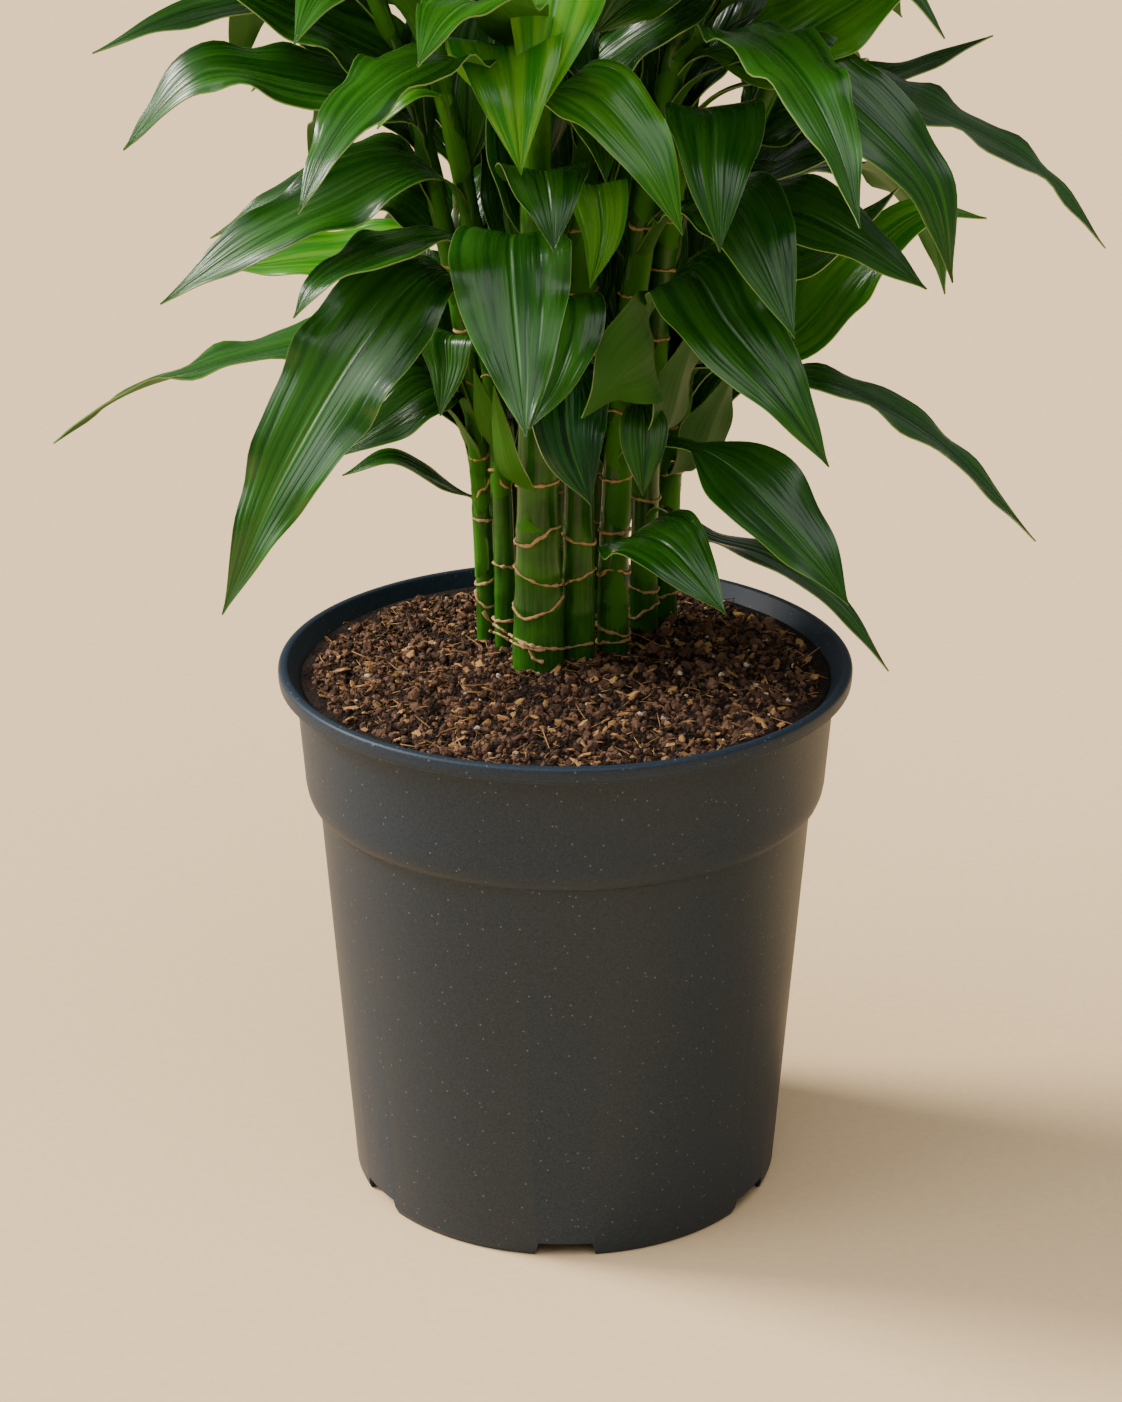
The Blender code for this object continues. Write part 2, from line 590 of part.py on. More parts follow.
def crown_blade(stem, count, turn_aside, lift):
    """One of the stem's own leaves by rule: golden turns within its fan, steeper to the top."""
    draw = random.Random(f"{stem.name} {count}")
    share = (count + 0.5) / stem.count
    height = stem.leafy_from + (stem.top[2] - 0.006 - stem.leafy_from) * share
    swing = (count * GOLDEN_TURN / (2 * math.pi) + draw.uniform(0.0, 0.1)) % 1.0 * 2.0 - 1.0
    heading = math.radians(stem.fan + stem.spread * swing + turn_aside)
    rise = math.radians(38.0 + 40.0 * share ** 1.5 + draw.uniform(-5.0, 5.0) + lift)
    droop = math.radians(100.0 - 70.0 * share + draw.uniform(-10.0, 10.0))
    length = (0.180 - 0.050 * share ** 2) * draw.uniform(0.92, 1.06)
    width = (0.042 - 0.012 * share) * draw.uniform(0.94, 1.06)
    spine = arching_spine(stem_point(stem, height), heading, rise, droop, length)
    return Blade(stem.name, spine, width, 0.0, 0.0, CROWN_NECK, CROWN_STATIONS, CROWN_WAVE)


def blade_tree(blade):
    return BVHTree.FromPolygons(*blade_mesh(blade, BLADE_THICKNESS + CLEARANCE))


def stem_tree(stem):
    """Search tree of a tube a little wider than the cane."""
    rings = stem_rings(stem)
    vertices = [
        stem_point(stem, height)
        + Vector((math.cos(turn), math.sin(turn), 0.0)) * (radius + CLEARANCE / 2)
        for height, radius in rings
        for turn in [2 * math.pi * side / CANE_SIDES for side in range(CANE_SIDES)]
    ]
    faces = [
        (low + side, low + (side + 1) % CANE_SIDES, low + CANE_SIDES + (side + 1) % CANE_SIDES,
         low + CANE_SIDES + side)
        for low in range(0, CANE_SIDES * (len(rings) - 1), CANE_SIDES)
        for side in range(CANE_SIDES)
    ]
    return BVHTree.FromPolygons(vertices, faces)


def is_clear(blade, tree, trees):
    """Whether a crown leaf keeps off the other stems, and off the bare wall that the view shows."""
    low, high = LEAFY_COLUMNS
    shown = [shown_pixel(point) for point in blade.spine]
    if any(down > VIEW_TOP and not low < across < high for across, down in shown):
        return False
    return not any(name != blade.stem and tree.overlap(other) for name, other in trees)


def settled_blades():
    """All leaves. One of the crown's is turned aside or lifted where it would cross another
    stem or its leaves, and is left out where no turn clears it."""
    trees = [(stem.name, stem_tree(stem)) for stem in STEMS.values()]
    blades = hero_blades()
    trees += [(blade.stem, blade_tree(blade)) for blade in blades]
    for stem in STEMS.values():
        for count in range(stem.count):
            for lift, turn_aside in CROWN_TRIES:
                blade = crown_blade(stem, count, turn_aside, lift)
                tree = blade_tree(blade)
                if is_clear(blade, tree, trees):
                    blades.append(blade)
                    trees.append((stem.name, tree))
                    break
    return blades


def add_blade(blade, number, collection):
    vertices, faces = blade_mesh(blade, BLADE_THICKNESS)
    return mesh_object(f"{blade.stem}_leaf_{number}", vertices, faces, collection)


def add_leafy_stem(stem, blades, material, parts):
    """The cane and its leaves, joined in one body."""
    leaves = new_collection(stem.name + " leaves")
    for number, blade in enumerate(blades):
        add_blade(blade, number + 1, leaves)
    cane = add_cane(stem, parts)
    join = cane.modifiers.new("Leaves", "BOOLEAN")
    join.operation = "UNION"
    join.operand_type = "COLLECTION"
    join.solver = "MANIFOLD"
    join.collection = leaves
    plant = made_mesh(cane, stem.name, parts)
    remove_collection(leaves)
    plant.data.materials.append(material)
    return plant


def main():
    for thing in list(bpy.data.objects):
        bpy.data.objects.remove(thing)
    parts = new_collection("Corn plant")
    cutters = new_collection("Pot cutters")
    add_pot(parts, cutters)
    add_soil(parts)
    foliage = principled("Leaf green", (0.020, 0.085, 0.016), 0.35)
    blades = settled_blades()
    for stem in STEMS.values():
        add_leafy_stem(stem, [blade for blade in blades if blade.stem == stem.name], foliage, parts)


main()
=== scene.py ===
# %% [markdown]
# # A corn plant in a grower's pot
#
# This lesson dresses a finished construction. The pot, the soil and the ten leafy canes
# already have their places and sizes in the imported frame. Here each of them gets the surface
# and the fine form that the eye looks for: grained plastic, crumbly peat, ringed canes, and
# waxy leaves with ruffled edges. Units are metres, +Z is up and the front looks along -Y.

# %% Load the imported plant
import json
import math
import random
from collections import namedtuple

import bmesh
import bpy
from mathutils import Matrix, Vector, noise
from mathutils.bvhtree import BVHTree
from mathutils.kdtree import KDTree

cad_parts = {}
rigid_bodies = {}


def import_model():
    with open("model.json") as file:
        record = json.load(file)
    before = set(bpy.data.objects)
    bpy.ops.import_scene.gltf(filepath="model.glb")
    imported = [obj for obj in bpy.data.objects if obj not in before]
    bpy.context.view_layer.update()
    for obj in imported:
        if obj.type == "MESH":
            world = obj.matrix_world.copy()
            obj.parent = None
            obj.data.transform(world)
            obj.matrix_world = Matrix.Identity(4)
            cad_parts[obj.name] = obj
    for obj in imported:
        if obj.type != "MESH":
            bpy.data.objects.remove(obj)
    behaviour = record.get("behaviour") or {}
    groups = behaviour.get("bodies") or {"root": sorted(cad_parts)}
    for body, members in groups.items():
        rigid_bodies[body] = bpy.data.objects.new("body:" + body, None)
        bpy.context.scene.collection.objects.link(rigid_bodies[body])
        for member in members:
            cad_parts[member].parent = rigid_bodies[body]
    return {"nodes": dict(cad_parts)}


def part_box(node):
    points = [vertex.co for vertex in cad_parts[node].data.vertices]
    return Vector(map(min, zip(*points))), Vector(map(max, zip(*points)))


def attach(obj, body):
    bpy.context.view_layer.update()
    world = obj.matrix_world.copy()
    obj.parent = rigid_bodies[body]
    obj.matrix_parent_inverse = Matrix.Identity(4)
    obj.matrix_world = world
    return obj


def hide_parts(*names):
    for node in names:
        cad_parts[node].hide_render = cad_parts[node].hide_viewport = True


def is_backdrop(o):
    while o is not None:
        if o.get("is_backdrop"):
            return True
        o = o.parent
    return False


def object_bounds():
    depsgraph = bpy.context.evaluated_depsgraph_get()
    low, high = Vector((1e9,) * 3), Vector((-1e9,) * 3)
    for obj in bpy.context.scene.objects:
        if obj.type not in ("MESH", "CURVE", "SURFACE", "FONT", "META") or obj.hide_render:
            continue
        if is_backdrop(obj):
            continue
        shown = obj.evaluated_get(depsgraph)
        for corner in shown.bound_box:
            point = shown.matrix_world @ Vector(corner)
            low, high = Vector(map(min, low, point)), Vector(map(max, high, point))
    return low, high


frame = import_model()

UP = Vector((0.0, 0.0, 1.0))
cad_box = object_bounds()
print("nodes:", ", ".join(sorted(frame["nodes"])))

# %% [markdown]
# ## The camera
#
# The photograph was taken with a long lens from a little above the plant. The camera's
# place was found once, from the ellipses of the pot's rim and foot, and is written here as
# real distances. A long lens from afar keeps the pot's sides nearly parallel, where a short
# lens up close would spread them. The focal length is counted in the photograph's pixels,
# and the sensor's height stands for the 1402 pixels of the frame.

# %% Set the camera
FRAME_WIDTH = 1122
FRAME_HEIGHT = 1402
VIEW_SIDE = -0.0018
VIEW_DISTANCE = 1.365
VIEW_HEIGHT = 0.764
VIEW_PITCH = math.radians(21.94)
VIEW_FOCAL = 3500.0  # in pixels of the photograph
SENSOR = 36.0  # mm

camera_data = bpy.data.cameras.new("Long lens")
camera_data.sensor_fit = "VERTICAL"
camera_data.sensor_height = SENSOR
camera_data.lens = VIEW_FOCAL / FRAME_HEIGHT * SENSOR
camera = bpy.data.objects.new("Camera", camera_data)
camera.location = (VIEW_SIDE, -VIEW_DISTANCE, VIEW_HEIGHT)
camera.rotation_euler = (math.pi / 2 - VIEW_PITCH, 0.0, 0.0)
bpy.context.scene.collection.objects.link(camera)
bpy.context.scene.camera = camera
print(f"camera: {camera_data.lens:.1f} mm lens, {VIEW_DISTANCE} m in front")


def seen_point(across, down, depth):
    """The point at y = depth that the camera shows at a pixel of the photograph."""
    right = across - FRAME_WIDTH / 2
    rise = FRAME_HEIGHT / 2 - down
    ahead = VIEW_FOCAL * math.cos(VIEW_PITCH) + rise * math.sin(VIEW_PITCH)
    climb = rise * math.cos(VIEW_PITCH) - VIEW_FOCAL * math.sin(VIEW_PITCH)
    reach = (depth + VIEW_DISTANCE) / ahead
    return Vector((VIEW_SIDE + right * reach, depth, VIEW_HEIGHT + climb * reach))


# %% [markdown]
# ## Helpers for meshes and materials
#
# Colours are easiest to judge as the sRGB values that a picture shows, but a shader works in
# linear light, so one function turns the first into the second. One more adds a node with
# its settings and its links, and that is enough to write a whole material as a short list.

# %% Colour and node helpers
def linear(code):
    """Linear RGBA of an sRGB hex code."""
    parts = [int(code[start:start + 2], 16) / 255 for start in (1, 3, 5)]
    return (*[part / 12.92 if part <= 0.04045 else ((part + 0.055) / 1.055) ** 2.4 for part in parts], 1.0)


def add_node(tree, kind, inputs=(), **settings):
    """A node with its settings, and with its inputs set to values or linked to sockets."""
    made = tree.nodes.new(kind)
    for name, value in settings.items():
        setattr(made, name, value)
    for key, value in dict(inputs).items():
        if isinstance(value, bpy.types.NodeSocket):
            tree.links.new(value, made.inputs[key])
        else:
            made.inputs[key].default_value = value
    return made


def new_material(name, roughness, specular=0.5):
    """A material, its node tree and its Principled shader."""
    material = bpy.data.materials.new(name)
    material.use_nodes = True
    shader = material.node_tree.nodes["Principled BSDF"]
    shader.inputs["Roughness"].default_value = roughness
    shader.inputs["Specular IOR Level"].default_value = specular
    return material, material.node_tree, shader


print("white in linear light:", linear("#FFFFFF"), " mid grey:", [round(v, 3) for v in linear("#808080")[:3]])

# %% Mesh helpers
def new_piece(name, vertices, faces, material):
    mesh = bpy.data.meshes.new(name)
    mesh.from_pydata(vertices, [], faces)
    mesh.update()
    mesh.materials.append(material)
    piece = bpy.data.objects.new(name, mesh)
    bpy.context.scene.collection.objects.link(piece)
    return piece


def settle(piece, name):
    """A plain mesh of what the piece's modifiers make, in place of the piece."""
    bpy.context.view_layer.update()
    graph = bpy.context.evaluated_depsgraph_get()
    mesh = bpy.data.meshes.new_from_object(piece.evaluated_get(graph), depsgraph=graph)
    bpy.data.objects.remove(piece)
    mesh.name = name
    settled = bpy.data.objects.new(name, mesh)
    bpy.context.scene.collection.objects.link(settled)
    return settled


def triangles(piece):
    return sum(len(face.vertices) - 2 for face in piece.data.polygons)


# %% [markdown]
# ## The pot's plastic
#
# A grower's pot is injection moulded from recycled polypropylene. The mould is spark
# eroded, so the skin has a fine even grain and only a dull gloss, and regrind leaves tiny
# pale specks in it. The grain on a real pot is about 0.4 mm, and it is drawn at 0.9 mm,
# which is the finest that the camera resolves.

# %% Moulded polypropylene
PLASTIC_GRAIN = 0.0009
SPECK_SPACING = 0.0042
CLOUDS_TO_THE_METRE = 18.0

pot_plastic, tree, shader = new_material("moulded_polypropylene", 0.5, 0.25)
place = add_node(tree, "ShaderNodeTexCoord").outputs["Object"]
grain = add_node(tree, "ShaderNodeTexNoise", {"Vector": place, "Scale": 1 / PLASTIC_GRAIN, "Detail": 3.0})
cloud = add_node(tree, "ShaderNodeTexNoise", {"Vector": place, "Scale": CLOUDS_TO_THE_METRE, "Detail": 4.0})
tone = add_node(tree, "ShaderNodeMix", {0: cloud.outputs["Fac"], 6: linear("#192632"), 7: linear("#202E3D")},
                data_type="RGBA")
grit = add_node(tree, "ShaderNodeMapRange", {"Value": grain.outputs["Fac"], "From Min": 0.35,
                                             "From Max": 0.75, "To Min": 0.0, "To Max": 0.30})
grained = add_node(tree, "ShaderNodeMix", {0: grit.outputs["Result"], 6: tone.outputs[2],
                                           7: linear("#42505E")}, data_type="RGBA")
cells = add_node(tree, "ShaderNodeTexVoronoi", {"Vector": place, "Scale": 1 / SPECK_SPACING})
speck = add_node(tree, "ShaderNodeMapRange", {"Value": cells.outputs["Distance"], "From Min": 0.07,
                                              "From Max": 0.11, "To Min": 0.75, "To Max": 0.0})
colour = add_node(tree, "ShaderNodeMix", {0: speck.outputs["Result"], 6: grained.outputs[2],
                                          7: linear("#6C7076")}, data_type="RGBA")
tree.links.new(colour.outputs[2], shader.inputs["Base Color"])
gloss = add_node(tree, "ShaderNodeMapRange", {"Value": cloud.outputs["Fac"], "To Min": 0.40, "To Max": 0.56})
tree.links.new(gloss.outputs["Result"], shader.inputs["Roughness"])
bump = add_node(tree, "ShaderNodeBump", {"Height": grain.outputs["Fac"], "Strength": 0.35,
                                         "Distance": PLASTIC_GRAIN * 0.3})
tree.links.new(bump.outputs["Normal"], shader.inputs["Normal"])
print("plastic grain drawn at", PLASTIC_GRAIN * 1000, "mm")

# %% [markdown]
# ## The pot
#
# A pot is a turned shape, so half an outline and a Screw modifier make it. The outline
# follows the frame's own with finer mouldings and more sides, and a Bevel rounds its edges
# as a mould does, so that the rim and the shoulder catch a thin line of light. Six drain
# notches are cut out of the foot with a Boolean, after the bevel, so that their edges stay
# as crisp as on the real pot.

# %% Sizes of the pot
RIM_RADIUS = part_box("pot")[1][0]
RIM_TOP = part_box("pot")[1][2]
RIM_INNER = 0.1160
LIP_HEIGHT = 0.0068
COLLAR_RADIUS = 0.1129
SHOULDER_RADIUS = 0.1100
SHOULDER_TOP = 0.188
CREASE_RADIUS = 0.1049
CREASE_HEIGHT = 0.1747
BASE_RADIUS = 0.0915
WALL = 0.0023
FOOT_WALL = 0.0026
FLOOR_LIFT = 0.0060
HUB_RADIUS = 0.058
POT_SIDES = 144
NOTCHES = 6
NOTCH_WIDTH = 0.028
NOTCH_HEIGHT = 0.0062
NOTCH_TAPER = 0.80
NOTCH_BELOW = 0.004  # how far a cutting box reaches below the foot


def body_radius(height):
    """Outer radius of the tapered body at a height below the crease."""
    return BASE_RADIUS + (CREASE_RADIUS - BASE_RADIUS) * height / CREASE_HEIGHT


print("body, halfway up:", round(body_radius(CREASE_HEIGHT / 2) * 1000, 1), "mm in radius")

# %% Half an outline
floor_top = FLOOR_LIFT + WALL
lip_foot = RIM_TOP - LIP_HEIGHT
pot_outline = [
    # The inner wall, from the floor's middle up to the rim
    (0.0, WALL),
    (HUB_RADIUS, WALL),
    (HUB_RADIUS + 0.009, floor_top),
    (body_radius(floor_top) - WALL, floor_top),
    (CREASE_RADIUS - WALL, CREASE_HEIGHT + 0.002),
    (SHOULDER_RADIUS - WALL, SHOULDER_TOP),
    (COLLAR_RADIUS - WALL, lip_foot),
    (RIM_INNER - 0.0018, RIM_TOP - 0.0030),
    (RIM_INNER - 0.0006, RIM_TOP - 0.0012),
    # The rolled rim and the fine bead along its lower edge
    (RIM_INNER + 0.0002, RIM_TOP - 0.0003),
    (RIM_INNER + 0.0012, RIM_TOP),
    (RIM_RADIUS - 0.0020, RIM_TOP),
    (RIM_RADIUS - 0.0009, RIM_TOP - 0.0003),
    (RIM_RADIUS - 0.0002, RIM_TOP - 0.0010),
    (RIM_RADIUS, RIM_TOP - 0.0020),
    (RIM_RADIUS - 0.0001, lip_foot + 0.0016),
    (RIM_RADIUS - 0.0005, lip_foot + 0.0011),
    (RIM_RADIUS - 0.0002, lip_foot + 0.0006),
    (RIM_RADIUS - 0.0008, lip_foot),
    (COLLAR_RADIUS + 0.0012, lip_foot - 0.0002),
    (COLLAR_RADIUS, lip_foot - 0.0014),
    # The collar, its round shoulder and the sharp crease below it
    (SHOULDER_RADIUS, SHOULDER_TOP),
    (SHOULDER_RADIUS - 0.0003, SHOULDER_TOP - 0.0045),
    (SHOULDER_RADIUS - 0.0010, SHOULDER_TOP - 0.0083),
    (SHOULDER_RADIUS - 0.0021, SHOULDER_TOP - 0.0110),
    (CREASE_RADIUS + 0.0012, CREASE_HEIGHT + 0.0007),
    (CREASE_RADIUS + 0.0001, CREASE_HEIGHT),
    (CREASE_RADIUS - 0.0008, CREASE_HEIGHT - 0.0006),
    # The body, down to the foot ring and the hub
    (body_radius(0.0030), 0.0030),
    (BASE_RADIUS - 0.0010, 0.0),
    (BASE_RADIUS - FOOT_WALL, 0.0),
    (BASE_RADIUS - FOOT_WALL, FLOOR_LIFT),
    (HUB_RADIUS + 0.009, FLOOR_LIFT),
    (HUB_RADIUS + 0.001, 0.0),
    (0.0, 0.0),
]
print("outline points:", len(pot_outline))

# %% Turn the outline
pot_mesh = bpy.data.meshes.new("pot_outline")
pot_mesh.from_pydata([(radius, 0.0, height) for radius, height in pot_outline],
                     [(i, i + 1) for i in range(len(pot_outline) - 1)], [])
pot_mesh.materials.append(pot_plastic)
pot_blank = bpy.data.objects.new("pot_blank", pot_mesh)
bpy.context.scene.collection.objects.link(pot_blank)
turn = pot_blank.modifiers.new("Turn", "SCREW")
turn.steps = POT_SIDES
turn.render_steps = POT_SIDES
turn.use_merge_vertices = True
turn.merge_threshold = 0.00001
edges = pot_blank.modifiers.new("Mould radius", "BEVEL")
edges.width = 0.0005
edges.segments = 2
edges.limit_method = "ANGLE"
edges.angle_limit = math.radians(28.0)
pot_turned = settle(pot_blank, "pot_turned")
print("turned pot:", triangles(pot_turned), "triangles")

# %% Cut the drain notches
notch_boxes = bpy.data.collections.new("Notch boxes")
bpy.context.scene.collection.children.link(notch_boxes)
for count in range(NOTCHES):
    bpy.ops.mesh.primitive_cube_add(size=1.0)
    box = bpy.context.object
    for corner in box.data.vertices:
        if corner.co.z > 0:
            corner.co.y *= NOTCH_TAPER
    box.matrix_world = (
        Matrix.Rotation(math.radians(count * 360.0 / NOTCHES - 90.0), 4, "Z")
        @ Matrix.Translation((BASE_RADIUS - FOOT_WALL / 2, 0.0, (NOTCH_HEIGHT - NOTCH_BELOW) / 2))
        @ Matrix.Diagonal((2.4 * FOOT_WALL, NOTCH_WIDTH, NOTCH_HEIGHT + NOTCH_BELOW, 1.0))
    )
    for holder in box.users_collection:
        holder.objects.unlink(box)
    notch_boxes.objects.link(box)
cut = pot_turned.modifiers.new("Notches", "BOOLEAN")
cut.operation = "DIFFERENCE"
cut.operand_type = "COLLECTION"
cut.collection = notch_boxes
pot_shell = settle(pot_turned, "pot_shell")
for box in list(notch_boxes.objects):
    bpy.data.objects.remove(box)
bpy.data.collections.remove(notch_boxes)
pot_shell.data.shade_smooth()
pot_shell.data.set_sharp_from_angle(angle=math.radians(45.0))
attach(pot_shell, "root")
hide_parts("pot")
print("pot with notches:", triangles(pot_shell), "triangles")

# %% [markdown]
# ## The canes and leaves as a plan
#
# The frame's leafy stems were grown by a plan: the foot and top of each cane, the leaves
# that can be read in the photograph, and a golden-angle rule for the leaves of the crown.
# The same plan is repeated here, because the finer leaves must lie where the frame's leaves
# lie. A leaf's `seen` points are pixels of the photograph with a distance behind the pot's
# axis, and its youth is how far its green is still that of a young leaf. On a few leaves the
# same value also holds painted light: it is raised on a leaf lit through from behind, and set
# to 0 on a leaf in deep shadow as painted shade.

# %% The plan of the stems
Stem = namedtuple("Stem", "name foot top foot_radius top_radius scars leafy_from fan spread count")
STEMS = {
    stem.name: stem
    for stem in (
        Stem("stem_front", (-0.0112, -0.0080), (-0.012, -0.030, 0.500), 0.0100, 0.0050,
             (0.2609, 0.2758, 0.2931), 0.470, -90, 70, 4),
        Stem("stem_middle", (0.0055, 0.0015), (0.014, -0.004, 0.600), 0.0064, 0.0042,
             (0.2550, 0.2715, 0.2877), 0.500, -60, 180, 9),
        Stem("stem_front_right", (0.0200, 0.0105), (0.062, -0.008, 0.560), 0.0061, 0.0042,
             (0.2545, 0.2703, 0.2879), 0.480, -35, 60, 6),
        Stem("stem_left", (-0.0336, 0.0240), (-0.092, 0.022, 0.550), 0.0036, 0.0034,
             (0.2520, 0.2605, 0.2880), 0.480, 180, 55, 6),
        Stem("stem_front_left", (-0.0254, 0.0180), (-0.060, -0.004, 0.520), 0.0041, 0.0036,
             (0.2560, 0.2704, 0.3073), 0.480, -140, 50, 5),
        Stem("stem_right", (0.0335, 0.0400), (0.085, 0.030, 0.620), 0.0056, 0.0040,
             (0.2700, 0.2920), 0.490, 10, 60, 8),
        Stem("stem_far_right", (0.0430, 0.0560), (0.122, 0.056, 0.540), 0.0050, 0.0038,
             (0.2760,), 0.400, 48, 50, 9),
        Stem("stem_back_left", (-0.0260, 0.0520), (-0.072, 0.076, 0.580), 0.0056, 0.0040,
             (0.2720,), 0.390, 132, 50, 11),
        Stem("stem_centre", (-0.0060, 0.0330), (-0.006, 0.034, 0.650), 0.0072, 0.0044,
             (0.2720,), 0.420, 90, 180, 15),
        Stem("stem_back", (0.0130, 0.0600), (0.022, 0.092, 0.600), 0.0060, 0.0040,
             (0.2740,), 0.380, 88, 50, 11),
    )
}
STRAIGHT_TOP = 0.246  # the canes stand plumb up to here
LEAN_POWER = 2.2  # how late a cane bends towards its top
print(len(STEMS), "stems")

